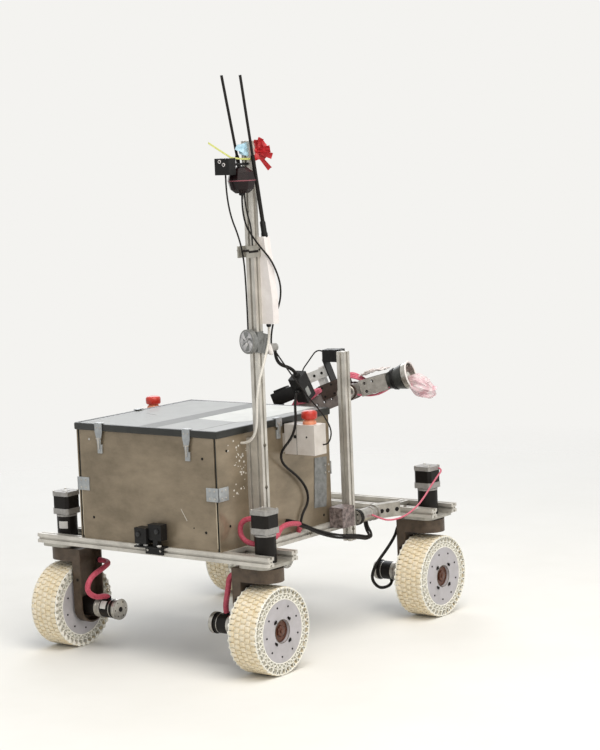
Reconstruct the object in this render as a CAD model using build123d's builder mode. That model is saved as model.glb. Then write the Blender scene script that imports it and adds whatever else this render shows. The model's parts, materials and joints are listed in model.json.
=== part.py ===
"""Four-wheel-drive, four-wheel-steer field rover with an equipment box, a mast and an arm.

Millimetres. +X is forward, +Y is left, +Z is up. Everything is drawn about the centre line,
midway between the axles. Every part is saved SHIFT_Y to the left of that, because the arm reaches
out on the right: this puts the origin on the ground, under the middle of the overall box.
"""
from build123d import *
from math import cos, radians, sin, tan
import os

os.makedirs("parts", exist_ok=True)

# Running gear
WHEEL_D = 230.0          # over the lugs
WHEEL_W = 90.0
LUG_H = 3.0
TRACK = 690.0            # between left and right steering axes
BASE = 750.0             # between front and rear steering axes
AXLE_Z = WHEEL_D / 2
DISC_R = 82.0            # side discs of the wheel
DISC_T = 5.0
SHAFT_R = 6.0            # drive shaft
RUN_FIT = 0.05           # radial clearance of every turning shaft

# Frame of slotted square bar
SLOT = 25.4              # side of the bar
SLOT_OPEN = 6.6          # width of the slot
SLOT_DEEP = 6.0
BORE_R = 2.6             # tapped bore in the bar's end
BORE_DEEP = 25.0
PAIR = 100.0             # between the two bars over an axle
BAR_L = 800.0
FRAME_TOP = 317.0
BAR_Z = FRAME_TOP - SLOT / 2
INNER = BASE / 2 - PAIR / 2 - SLOT / 2   # from the middle to the inner crossbars
REAR_FACE = -(BASE + PAIR + SLOT) / 2

# Steering units, stacked upwards from the bearing plate under the bars
PLATE_T = 8.0
PLATE_Z = FRAME_TOP - SLOT - PLATE_T
FORK_TOP = PLATE_Z - 5.0
FORK_T = 4.0
FORK_W = 90.0            # fore and aft
SKIRT_Z = 243.0          # lower edge of the fork's skirt
LEG_IN = 52.0            # wheel centre to the leg's web
LEG_OUT = 80.0           # wheel centre to the edge of the leg's flanges
KING_R = 10.0            # steering shaft
GEARBOX_R = 28.0
GEARBOX_TOP = 367.0
CAP_LOW = 383.0
STEPPER_TOP = 429.0
CAP_T = 12.0
STEPPER = 56.4           # square

# Equipment box
BOX_L = 485.0
BOX_HALF = 242.0
BOX_REAR = REAR_FACE + 7.7
BOX_FRONT = BOX_REAR + BOX_L
BOX_TOP = 627.0
PANEL_T = 3.0
CORNER_GAP = 7.0
POST_W = 14.0
TRIM_H = 26.0
TRIM_T = 4.0
TRIM_FIT = 0.5
RAIL_Y = BOX_HALF - 2.0  # the box stands on the rails
RAIL_OUT = RAIL_Y + SLOT / 2

# Mast, bolted to a short bar that stands beside the box, and post, bolted to the right rail
MAST_X = BOX_REAR + 135.0
MAST_TOP = 1366.0
MAST_FOOT = 300.0
SUPPORT_TOP = 598.0
SUPPORT_Y = -(BOX_HALF + SLOT / 2)
MAST_Y = SUPPORT_Y - SLOT
POST_X = BOX_FRONT + 47.0
POST_Y = -(RAIL_OUT + SLOT / 2)
POST_TOP = 781.0
POST_FOOT = 257.0

# Arm, parked across the front of the box
ARM_X = BOX_FRONT + 110.0
ARM_Y = 0.0
ARM_TURN = -76.0         # from straight ahead, in degrees, like the two tilts
UPPER_TILT = 21.0
FOREARM_TILT = 15.0
SHOULDER_Z = 573.0
UPPER_L = 230.0          # shoulder to elbow
ARM_REACH = 460.0        # from the centre line to the right, at rest
CHANNEL = 48.0
CHANNEL_T = 3.0
HOLE_STEP = 24.0

SHIFT_Y = (ARM_REACH - BAR_L / 2) / 2

# name, sign of x, sign of y
CORNERS = (
    ("rear_left", -1, 1),
    ("rear_right", -1, -1),
    ("front_left", 1, 1),
    ("front_right", 1, -1),
)


def corner(sx, sy):
    """A steering axis on the ground, with its own +Y pointing outboard."""
    return Location((sx * BASE / 2, sy * TRACK / 2, 0), (0, 0, 0 if sy > 0 else 180))


ALL_CORNERS = [corner(sx, sy) for name, sx, sy in CORNERS]


def save(name, builder, places=(Location((0, 0, 0)),)):
    """Write a part, drawn in its own frame, at each of its places."""
    with BuildPart() as placed:
        for place in places:
            with Locations(Location((0, SHIFT_Y, 0)) * place):
                add(builder.part)
    placed.part.label = name
    export_step(placed.part, f"parts/{name}.step")


def slotted_bar(length, bored=True):
    """A bar that stands on the origin, slotted along its four sides and bored at its ends."""
    with BuildPart() as bar:
        with BuildSketch():
            Rectangle(SLOT, SLOT)
            with PolarLocations(SLOT / 2 - SLOT_DEEP / 2, 4):
                Rectangle(SLOT_DEEP, SLOT_OPEN, mode=Mode.SUBTRACT)
        extrude(amount=length)
        if bored:
            with Locations((0, 0, BORE_DEEP / 2), (0, 0, length - BORE_DEEP / 2)):
                Cylinder(BORE_R, BORE_DEEP, mode=Mode.SUBTRACT)
    return bar.part


def along_y(x, y0, z):
    return Location((x, y0, z), (-90, 0, 0))


def along_x(x0, y, z):
    return Location((x0, y, z), (0, 90, 0))


# Frame

crossbar = slotted_bar(BAR_L)
for name, sx in (("rear_crossbars", -1), ("front_crossbars", 1)):
    with BuildPart() as crossbars:
        for side in (-1, 1):
            with Locations(along_y((sx * BASE + side * PAIR) / 2, -BAR_L / 2, BAR_Z)):
                add(crossbar)
        if name == "front_crossbars":
            with Locations(along_y(ARM_X, -RAIL_Y + SLOT / 2, BAR_Z)):
                add(slotted_bar(2 * RAIL_Y - SLOT, bored=False))
    save(name, crossbars)

LINK = PAIR - SLOT       # between the bars of a pair

with BuildPart() as side_rails:
    for start, length in (
        (-INNER, 2 * INNER),
        (-BASE / 2 - LINK / 2, LINK),
        (BASE / 2 - LINK / 2, LINK),
    ):
        rail = slotted_bar(length, bored=False)
        with Locations(*[along_x(start, side * RAIL_Y, BAR_Z) for side in (-1, 1)]):
            add(rail)
save("side_rails", side_rails)

with BuildPart() as bearing_plates:
    with Locations(*ALL_CORNERS):
        with Locations((0, -2, PLATE_Z + PLATE_T / 2)):
            Box(PAIR + SLOT, 96, PLATE_T)
    fillet(bearing_plates.edges().filter_by(Axis.Z), 22)
    with Locations(*ALL_CORNERS):
        with Locations((0, 0, PLATE_Z + PLATE_T / 2)):
            Cylinder(KING_R + RUN_FIT, PLATE_T, mode=Mode.SUBTRACT)
save("bearing_plates", bearing_plates)

KING_TOP = PLATE_Z + PLATE_T + 12
with BuildPart() as steer_gearboxes:
    with Locations(*ALL_CORNERS):
        with Locations((0, 0, PLATE_Z + PLATE_T)):
            Cylinder(GEARBOX_R, GEARBOX_TOP - PLATE_Z - PLATE_T,
                     align=(Align.CENTER, Align.CENTER, Align.MIN))
            Cylinder(KING_R + RUN_FIT, KING_TOP + 1 - PLATE_Z - PLATE_T,
                     align=(Align.CENTER, Align.CENTER, Align.MIN), mode=Mode.SUBTRACT)
save("steer_gearboxes", steer_gearboxes)


def square_block(z0, z1, chamfered):
    with Locations((0, 0, (z0 + z1) / 2)):
        block = Box(STEPPER, STEPPER, z1 - z0)
    chamfer(block.edges().filter_by(Axis.Z), chamfered)


with BuildPart() as stepper_caps:
    square_block(GEARBOX_TOP, CAP_LOW, 5)
    square_block(STEPPER_TOP - CAP_T, STEPPER_TOP, 5)
save("stepper_caps", stepper_caps, ALL_CORNERS)

with BuildPart() as steer_steppers:
    square_block(CAP_LOW, STEPPER_TOP - CAP_T, 8)
save("steer_steppers", steer_steppers, ALL_CORNERS)

# Corner units: each is drawn about its steering axis, outboard along +Y, then put in its place


def skirt_outline(inset):
    """Top member of the fork from above: straight at the leg, round over the wheel."""
    half = FORK_W / 2 - inset
    with Locations((0, -LEG_OUT / 2)):
        Rectangle(2 * half, LEG_OUT)
    Circle(half)


def leg_outline(inset):
    """The fork's leg from the side: straight at the top, round at the drive shaft."""
    half = FORK_W / 2 - inset
    height = FORK_TOP - AXLE_Z
    with Locations((0, AXLE_Z + height / 2)):
        Rectangle(2 * half, height)
    with Locations((0, AXLE_Z)):
        Circle(half)


SIDE_VIEW = Plane(origin=(0, 0, 0), x_dir=(1, 0, 0), z_dir=(0, -1, 0))   # looks outboard

with BuildPart() as fork:
    with BuildSketch(Plane.XY.offset(SKIRT_Z)):
        skirt_outline(0)
    extrude(amount=FORK_TOP - SKIRT_Z)
    with BuildSketch(Plane.XY.offset(SKIRT_Z)):
        skirt_outline(FORK_T)
    extrude(amount=FORK_TOP - FORK_T - SKIRT_Z, mode=Mode.SUBTRACT)
    with BuildSketch(SIDE_VIEW.offset(LEG_IN)):
        leg_outline(0)
    extrude(amount=LEG_OUT - LEG_IN)
    with BuildSketch(SIDE_VIEW.offset(LEG_IN + FORK_T)):
        with Locations((0, (AXLE_Z + FORK_TOP - FORK_T) / 2)):
            Rectangle(FORK_W - 2 * FORK_T, FORK_TOP - FORK_T - AXLE_Z)
        with Locations((0, AXLE_Z)):
            Circle(FORK_W / 2 - FORK_T)
    extrude(amount=LEG_OUT - LEG_IN, mode=Mode.SUBTRACT)
    with Locations(Location((0, -LEG_IN, AXLE_Z), (90, 0, 0))):
        Cylinder(SHAFT_R + 1, 4 * FORK_T, mode=Mode.SUBTRACT)
    with Locations((0, 0, FORK_TOP)):
        Cylinder(KING_R, KING_TOP - FORK_TOP, align=(Align.CENTER, Align.CENTER, Align.MIN))

# Drive motor, inboard from the leg's web: start, end (from the wheel's centre), radius
DRIVE_GEARBOX = (LEG_IN + FORK_T, 96.0, 28.0)
DRIVE_RING = (96.0, 106.0, 27.0)
DRIVE_BODY = (106.0, 168.0, 26.0)
DRIVE_CAP = (168.0, 180.0, 28.5)


def inboard_cylinder(start, end, radius):
    with Locations(Location((0, -start, AXLE_Z), (90, 0, 0))):
        Cylinder(radius, end - start, align=(Align.CENTER, Align.CENTER, Align.MIN))


with BuildPart() as drive_motor:
    for start, end, radius in (DRIVE_GEARBOX, DRIVE_RING, DRIVE_BODY, DRIVE_CAP):
        inboard_cylinder(start, end, radius)
    with Locations(Location((0, -DRIVE_GEARBOX[0], AXLE_Z), (90, 0, 0))):
        Cylinder(SHAFT_R + RUN_FIT, 12, align=(Align.CENTER, Align.CENTER, Align.MIN),
                 mode=Mode.SUBTRACT)

# Airless tyre: lugs round a tread band, slanted windows between the band and the inner ring
LUGS = 36
TREAD_R = WHEEL_D / 2 - LUG_H
WINDOW_IN = 87.0
WINDOW_OUT = 107.0
STEP = 360 / LUGS


def at(radius, turns):
    """A point of the wheel's side, by radius and by lug pitches round from the top."""
    angle = radians(90 - turns * STEP)
    return radius * cos(angle), radius * sin(angle)


# Corners of one lug, in order round the tyre: radius, pitches from the lug's start
LUG_OUTLINE = ((TREAD_R, 0.22), (WHEEL_D / 2, 0.27), (WHEEL_D / 2, 0.73), (TREAD_R, 0.78))

with BuildPart() as tyre:
    with BuildSketch(SIDE_VIEW.offset(-WHEEL_W / 2)):
        with Locations((0, AXLE_Z)):
            outline = []
            for lug in range(LUGS):
                for radius, turns in LUG_OUTLINE:
                    outline.append(at(radius, lug + turns))
            Polygon(*outline, align=None)
            Circle(DISC_R, mode=Mode.SUBTRACT)
            for window in range(LUGS):
                Polygon(
                    at(WINDOW_IN, window + 0.1),
                    at(WINDOW_OUT, window + 0.45),
                    at(WINDOW_OUT, window + 1.2),
                    at(WINDOW_IN, window + 0.75),
                    align=None,
                    mode=Mode.SUBTRACT,
                )
    extrude(amount=WHEEL_W)

HUB_R = 36.0
CAP_R = 29.5             # recess round the wheel's centre
CAP_DEEP = 8.0
with BuildPart() as wheel_hub:
    for start in (-WHEEL_W / 2 + 2, WHEEL_W / 2 - 2 - DISC_T):
        inboard_cylinder(start, start + DISC_T, DISC_R)
    inboard_cylinder(-WHEEL_W / 2 + 2 + DISC_T, WHEEL_W / 2 - 2 - DISC_T, HUB_R)
    inboard_cylinder(WHEEL_W / 2 - 2 - DISC_T, DRIVE_GEARBOX[0] + 10, SHAFT_R)
    with Locations(Location((0, WHEEL_W / 2 - 2, AXLE_Z), (90, 0, 0))):
        Cylinder(CAP_R, CAP_DEEP, align=(Align.CENTER, Align.CENTER, Align.MIN), mode=Mode.SUBTRACT)

for name, sx, sy in CORNERS:
    for kind, piece in (
        ("fork", fork),
        ("drive_motor", drive_motor),
        ("tyre", tyre),
        ("wheel_hub", wheel_hub),
    ):
        save(f"{kind}_{name}", piece, (corner(sx, sy),))

# Equipment box

BOX_X = (BOX_REAR + BOX_FRONT) / 2
BOX_H = BOX_TOP - FRAME_TOP
BOX_Z = (BOX_TOP + FRAME_TOP) / 2
INSIDE_L = BOX_L - 2 * PANEL_T
INSIDE_W = 2 * (BOX_HALF - PANEL_T)
FLOOR_GAP = 0.3

with BuildPart() as box_panels:
    with Locations((BOX_X, BOX_HALF - PANEL_T / 2, BOX_Z), (BOX_X, -BOX_HALF + PANEL_T / 2, BOX_Z)):
        Box(BOX_L, PANEL_T, BOX_H)
    with Locations((BOX_REAR + PANEL_T / 2, 0, BOX_Z), (BOX_FRONT - PANEL_T / 2, 0, BOX_Z)):
        Box(PANEL_T, 2 * (BOX_HALF - PANEL_T - CORNER_GAP), BOX_H)
    with Locations((BOX_X, 0, FRAME_TOP + PANEL_T / 2)):
        Box(INSIDE_L - 2 * FLOOR_GAP, INSIDE_W - 2 * POST_W, PANEL_T)
save("box_panels", box_panels)

with BuildPart() as box_corner_posts:
    with Locations((BOX_X, 0, BOX_Z)):
        with GridLocations(INSIDE_L - POST_W, INSIDE_W - POST_W, 2, 2):
            Box(POST_W, POST_W, BOX_H)
save("box_corner_posts", box_corner_posts)

with BuildPart() as battery:
    with Locations((BOX_X, 0, FRAME_TOP + PANEL_T)):
        Box(BOX_L - 305, 2 * BOX_HALF - 254, BOX_H - 200, align=(Align.CENTER, Align.CENTER, Align.MIN))
save("battery", battery)

with BuildPart() as lid_sheet:
    with Locations((BOX_X, 0, BOX_TOP + PANEL_T / 2)):
        Box(BOX_L, 2 * BOX_HALF, PANEL_T)
save("lid_sheet", lid_sheet)

with BuildPart() as lid_trim:
    with Locations((BOX_X, 0, BOX_TOP + PANEL_T - TRIM_H / 2)):
        Box(BOX_L + 2 * TRIM_T, 2 * (BOX_HALF + TRIM_T), TRIM_H)
    with Locations((BOX_X, 0, BOX_TOP + PANEL_T)):
        Box(BOX_L, 2 * BOX_HALF, 2 * PANEL_T, mode=Mode.SUBTRACT)
    with Locations((BOX_X, 0, BOX_TOP - TRIM_H / 2)):
        Box(BOX_L + 2 * TRIM_FIT, 2 * (BOX_HALF + TRIM_FIT), TRIM_H, mode=Mode.SUBTRACT)
save("lid_trim", lid_trim)

# Draw latches: place on the panel's outer face, turn of the face about Z (0 faces the rear)
STOP_X = BOX_FRONT - 185  # right stop button
LATCH_X = STOP_X - 44
LATCHES = (
    (Location((BOX_REAR, 159, 0), (0, 0, 0))),
    (Location((BOX_REAR, -143, 0), (0, 0, 0))),
    (Location((LATCH_X, -BOX_HALF, 0), (0, 0, 90))),
    (Location((LATCH_X, BOX_HALF, 0), (0, 0, -90))),
)
LATCH_TOP = BOX_TOP + PANEL_T + 3
TRIM_LOW = BOX_TOP + PANEL_T - TRIM_H
with BuildPart() as latch_base:
    with Locations((-3, 0, BOX_TOP - 52)):
        Box(6, 30, 40)
    with Locations((-8, 0, BOX_TOP - 49)):
        Box(4, 22, 34)

with BuildPart() as latch_hooks:
    with Locations((-TRIM_T - 2, 0, (TRIM_LOW + LATCH_TOP) / 2)):
        Box(4, 38, LATCH_TOP - TRIM_LOW)
    with Locations((-TRIM_T + 6, 0, LATCH_TOP - 1.5)):
        Box(16, 38, 3)
save("latch_hooks", latch_hooks, LATCHES)

# Brackets: gussets between rails and crossbars, angles round the box corners at mid-height,
# and the lower halves of the latches
GUSSET = 34.0
GUSSET_T = 18.0
BRACKET_Z = 466.0
BRACKET_H = 36.0
BRACKET_W = 42.0
BRACKET_T = 3.0
with BuildPart() as brackets:
    with BuildSketch(Plane.XY.offset(BAR_Z - GUSSET_T / 2)):
        for sx in (-1, 1):
            for sy in (-1, 1):
                with Locations((sx * INNER, sy * (RAIL_Y - SLOT / 2))):
                    Polygon((0, 0), (-sx * GUSSET, 0), (0, -sy * GUSSET), align=None)
    extrude(amount=GUSSET_T)
    with BuildSketch(Plane.XY.offset(BRACKET_Z - BRACKET_H / 2)):
        for x, sx in ((BOX_REAR, -1), (BOX_FRONT, 1)):
            for sy in (-1, 1):
                with Locations((x, sy * BOX_HALF)):
                    Polygon(
                        (0, 0),
                        (0, sy * BRACKET_T),
                        (sx * BRACKET_T, sy * BRACKET_T),
                        (sx * BRACKET_T, sy * (BRACKET_T - BRACKET_W)),
                        (0, sy * (BRACKET_T - BRACKET_W)),
                        align=None,
                    )
                    Polygon(
                        (0, 0),
                        (0, sy * BRACKET_T),
                        (-sx * (BRACKET_W - BRACKET_T), sy * BRACKET_T),
                        (-sx * (BRACKET_W - BRACKET_T), 0),
                        align=None,
                    )
    extrude(amount=BRACKET_H)
    with Locations(*LATCHES):
        add(latch_base.part)
save("brackets", brackets)

# Stop buttons on both sides of the box: x, side, how far the button stands out from the middle
STOPS = ((STOP_X, -1, 16), (STOP_X + 87, 1, 0))
STOP_BOX = (52.0, 98.0, 80.0)
STOP_Z = BOX_TOP - 52
STOP_IN = BOX_HALF + TRIM_T + 6
with BuildPart() as stop_boxes:
    for x, side, offset in STOPS:
        with Locations((x, side * (STOP_IN + STOP_BOX[1] / 2), STOP_Z)):
            Box(*STOP_BOX)
        with Locations((x, side * (BOX_HALF + STOP_IN) / 2, STOP_Z - 12)):
            Box(STOP_BOX[0] - 8, STOP_IN - BOX_HALF, STOP_BOX[2] - 30)
save("stop_boxes", stop_boxes)

with BuildPart() as stop_buttons:
    for x, side, offset in STOPS:
        y = side * (STOP_IN + STOP_BOX[1] / 2 + offset)
        with Locations((x, y, STOP_Z + STOP_BOX[2] / 2)):
            Cylinder(15, 6, align=(Align.CENTER, Align.CENTER, Align.MIN))
            Cone(18, 13, 14, align=(Align.CENTER, Align.CENTER, Align.MIN))
        with Locations((x, y, STOP_Z + STOP_BOX[2] / 2 + 14)):
            Cylinder(21, 22, align=(Align.CENTER, Align.CENTER, Align.MIN))
save("stop_buttons", stop_buttons)

# Mast and post

with BuildPart() as mast_support:
    with Locations((MAST_X, SUPPORT_Y, FRAME_TOP)):
        add(slotted_bar(SUPPORT_TOP - FRAME_TOP, bored=False))
save("mast_support", mast_support)

with BuildPart() as uprights:
    with Locations((MAST_X, MAST_Y, MAST_FOOT)):
        add(slotted_bar(MAST_TOP - MAST_FOOT))
    with Locations((POST_X, POST_Y, POST_FOOT)):
        add(slotted_bar(POST_TOP - POST_FOOT))
save("uprights", uprights)

MAST_HALF = SLOT / 2
CLAMP_Z = 1084.0
with BuildPart() as mast_clamp:
    for side in (-1, 1):
        with Locations((MAST_X + MAST_HALF, MAST_Y + side * (MAST_HALF + 2), CLAMP_Z)):
            Box(55, 4, 30, align=(Align.MAX, Align.CENTER, Align.CENTER))
save("mast_clamp", mast_clamp)

BEACON_Z = 1267.0
BEACON_PROFILE = ((-32, 18), (-22, 31), (0, 37), (22, 31), (32, 18))   # height, radius
BEACON_X = MAST_X - MAST_HALF - 4 - BEACON_PROFILE[2][1] * cos(radians(22.5))
BEACON_Y = MAST_Y - 14
with BuildPart() as beacon:
    for lower, upper in zip(BEACON_PROFILE, BEACON_PROFILE[1:]):
        for height, radius in (lower, upper):
            with BuildSketch(Plane(origin=(BEACON_X, BEACON_Y, BEACON_Z + height))):
                RegularPolygon(radius, 8, rotation=22.5)
        loft(ruled=True)
    with Locations((MAST_X - MAST_HALF, MAST_Y, BEACON_Z)):
        Box(14, 24, 20, align=(Align.MAX, Align.CENTER, Align.CENTER))
save("beacon", beacon)

# Radio on the mast's front side, narrower at its top
RADIO_X = MAST_X + MAST_HALF   # rear face
RADIO_T = 28.0
RADIO_LOW = 895.0
RADIO_TOP = 1120.0
RADIO_OUT = MAST_Y - 48
with BuildPart() as radio:
    with BuildSketch(Plane(origin=(RADIO_X, 0, 0), x_dir=(0, 1, 0), z_dir=(1, 0, 0))):
        Polygon(
            (MAST_Y + 30, RADIO_LOW),
            (RADIO_OUT, RADIO_LOW),
            (RADIO_OUT, RADIO_LOW + 65),
            (MAST_Y - 28, RADIO_TOP),
            (MAST_Y + 28, RADIO_TOP),
            (MAST_Y + 30, RADIO_TOP - 20),
            align=None,
        )
    extrude(amount=RADIO_T)
    chamfer(radio.faces().sort_by(Axis.X)[-1].edges(), 4)
save("radio", radio)

# Whip antennas on the radio, one on each side of the mast: y, lean to the rear in degrees, length
ANTENNAS = (
    (MAST_Y - 21, 10.3, 414.0),
    (MAST_Y + 20, 13.5, 420.0),
)
ANTENNA_X = RADIO_X + RADIO_T / 2
with BuildPart() as antennas:
    for y, lean, length in ANTENNAS:
        with Locations((ANTENNA_X, y, RADIO_TOP)):
            Cylinder(6.5, 10, align=(Align.CENTER, Align.CENTER, Align.MIN))
        with Locations(Location((ANTENNA_X, y, RADIO_TOP + 5), (0, -lean, 0))):
            Cylinder(5.2, length / 2, align=(Align.CENTER, Align.CENTER, Align.MIN))
            Cylinder(3.6, length, align=(Align.CENTER, Align.CENTER, Align.MIN))
save("antennas", antennas)

LAMP_Z = 853.0
LAMP_R = 31.0
CONNECTOR_Z = LAMP_Z - 25
CONNECTOR_END = MAST_X + MAST_HALF + 66
LAMP_T = 14.0
LAMP_FOOT = 10.0
LAMP = Location((MAST_X - MAST_HALF - LAMP_FOOT, MAST_Y, LAMP_Z), (0, 0, -15))
with BuildPart() as mast_lamp:
    with Locations(Location((MAST_X - MAST_HALF, MAST_Y, LAMP_Z), (0, -90, 0))):
        Cylinder(14, LAMP_FOOT + 2, align=(Align.CENTER, Align.CENTER, Align.MIN))
    with Locations(LAMP * Location((0, 0, 0), (0, -90, 0))):
        Cylinder(LAMP_R, LAMP_T, align=(Align.CENTER, Align.CENTER, Align.MIN))
    with Locations(LAMP * Location((-4, 0, 0), (0, -90, 0))):
        Cone(12, LAMP_R - 4, LAMP_T - 4, align=(Align.CENTER, Align.CENTER, Align.MIN),
             mode=Mode.SUBTRACT)
    with Locations(along_x(MAST_X + MAST_HALF, MAST_Y, CONNECTOR_Z)):
        Cylinder(15, 34, align=(Align.CENTER, Align.CENTER, Align.MIN))
        Cylinder(10, 66, align=(Align.CENTER, Align.CENTER, Align.MIN))
save("mast_lamp", mast_lamp)

# Black housings: camera on the mast, camera pair on the rear, and a small box that hangs on its
# cables beside the lid
INLINE_Y = MAST_Y - 20
INLINE = Location((MAST_X + 160, INLINE_Y, BOX_TOP + 87), (0, -32, 0))
INLINE_W = 40.0
INLINE_H = 76.0
CAMERA_X = MAST_X - MAST_HALF - 84
CAMERA_Z = MAST_TOP - 62
CAMERA_W = 28.0
CAMERA_H = 42.0
REAR_CAMERA_Y = -24.0
with BuildPart() as black_housings:
    with Locations((MAST_X - MAST_HALF, MAST_Y, CAMERA_Z + 4)):
        Box(72, 20, 6, align=(Align.MAX, Align.CENTER, Align.CENTER))
    with Locations((CAMERA_X, MAST_Y, CAMERA_Z)):
        Box(CAMERA_W, 46, CAMERA_H)
    with Locations((REAR_FACE, REAR_CAMERA_Y, FRAME_TOP)):
        with Locations((-2, 0, -11)):
            Box(4, 60, 22)
        with Locations((-16, -2, 2)):
            Box(32, 92, 4)
        with Locations((-16, 21, 4), (-16, -23, 4)):
            Box(16, 16, 20, align=(Align.CENTER, Align.CENTER, Align.MIN))
        with Locations((-17, 21, 31)):
            Box(30, 40, 42)
        with Locations((-13, -23, 42)):
            Box(24, 44, 42)
    with Locations(INLINE):
        Box(INLINE_W, 34, INLINE_H)
save("black_housings", black_housings)

with BuildPart() as connector_box:
    with Locations((POST_X - SLOT / 2 - 32, -RAIL_OUT - 22, FRAME_TOP + 15)):
        Box(56, 44, 56)
save("connector_box", connector_box)

# Sampling unit along the right rail: a gearmotor, and a perforated channel across the front
SAMPLER_R = 22.0         # flanges at the motor's ends
SAMPLER_Y = -RAIL_OUT - SAMPLER_R - 0.3
SAMPLER_Z = FRAME_TOP + 1
SAMPLER_X = POST_X + SLOT / 2 + 5
SAMPLER_BAY = INNER - SLOT / 2 - SAMPLER_X   # as far as the front crossbars
SAMPLER_L = 0.5 * SAMPLER_BAY
with BuildPart() as sampler_motor:
    with Locations(along_x(SAMPLER_X, SAMPLER_Y, SAMPLER_Z)):
        Cylinder(SAMPLER_R - 3, SAMPLER_L, align=(Align.CENTER, Align.CENTER, Align.MIN))
        Cylinder(SAMPLER_R, 10, align=(Align.CENTER, Align.CENTER, Align.MIN))
    with Locations(along_x(SAMPLER_X + SAMPLER_L, SAMPLER_Y, SAMPLER_Z)):
        Cylinder(SAMPLER_R, 8, align=(Align.CENTER, Align.CENTER, Align.MAX))
save("sampler_motor", sampler_motor)

STRIP_L = 0.46 * SAMPLER_BAY
STRIP_H = 40.0
STRIP_W = 24.0
STRIP_TURN = 23.0        # outwards, with its near corner beside the motor
STRIP_X = SAMPLER_X + SAMPLER_L + STRIP_W / 2 * sin(radians(STRIP_TURN)) + 0.3
STRIP_PLACE = Location((STRIP_X, SAMPLER_Y + 8, SAMPLER_Z), (0, 0, -STRIP_TURN))
with BuildPart() as sampler_channel:
    with BuildSketch(Plane.YZ):
        Rectangle(STRIP_W, STRIP_H)
        with Locations((CHANNEL_T, 0)):
            Rectangle(STRIP_W, STRIP_H - 2 * CHANNEL_T, mode=Mode.SUBTRACT)
    extrude(amount=STRIP_L)
    with BuildSketch(Plane.XZ):
        with Locations((0.27 * STRIP_L, 0), (0.5 * STRIP_L, 0), (0.87 * STRIP_L, 0)):
            SlotOverall(14, 8)
    extrude(amount=STRIP_W, mode=Mode.SUBTRACT)
save("sampler_channel", sampler_channel, (STRIP_PLACE,))

# Cables that the rover holds along their whole length: radius, then the points of the route


def cable(radius, points):
    """A round tube on straight runs, with an arc at each turn as wide as its runs allow."""
    radii = []
    for before, here, after in zip(points, points[1:], points[2:]):
        arrive = Vector(*here) - Vector(*before)
        leave = Vector(*after) - Vector(*here)
        turn = radians(arrive.get_angle(leave))
        radii.append(0.45 * min(arrive.length, leave.length) / tan(turn / 2))
    with BuildPart() as tube:
        with BuildLine() as route:
            FilletPolyline(*points, radius=radii)
        with BuildSketch(Plane(origin=route.line @ 0, z_dir=route.line % 0)):
            Circle(radius)
        sweep(path=route.line)
    return tube.part


def on_inline(x, z):
    """A point of the hanging box, in its own frame."""
    return tuple((INLINE * Location((x, 0, z))).position)


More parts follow.
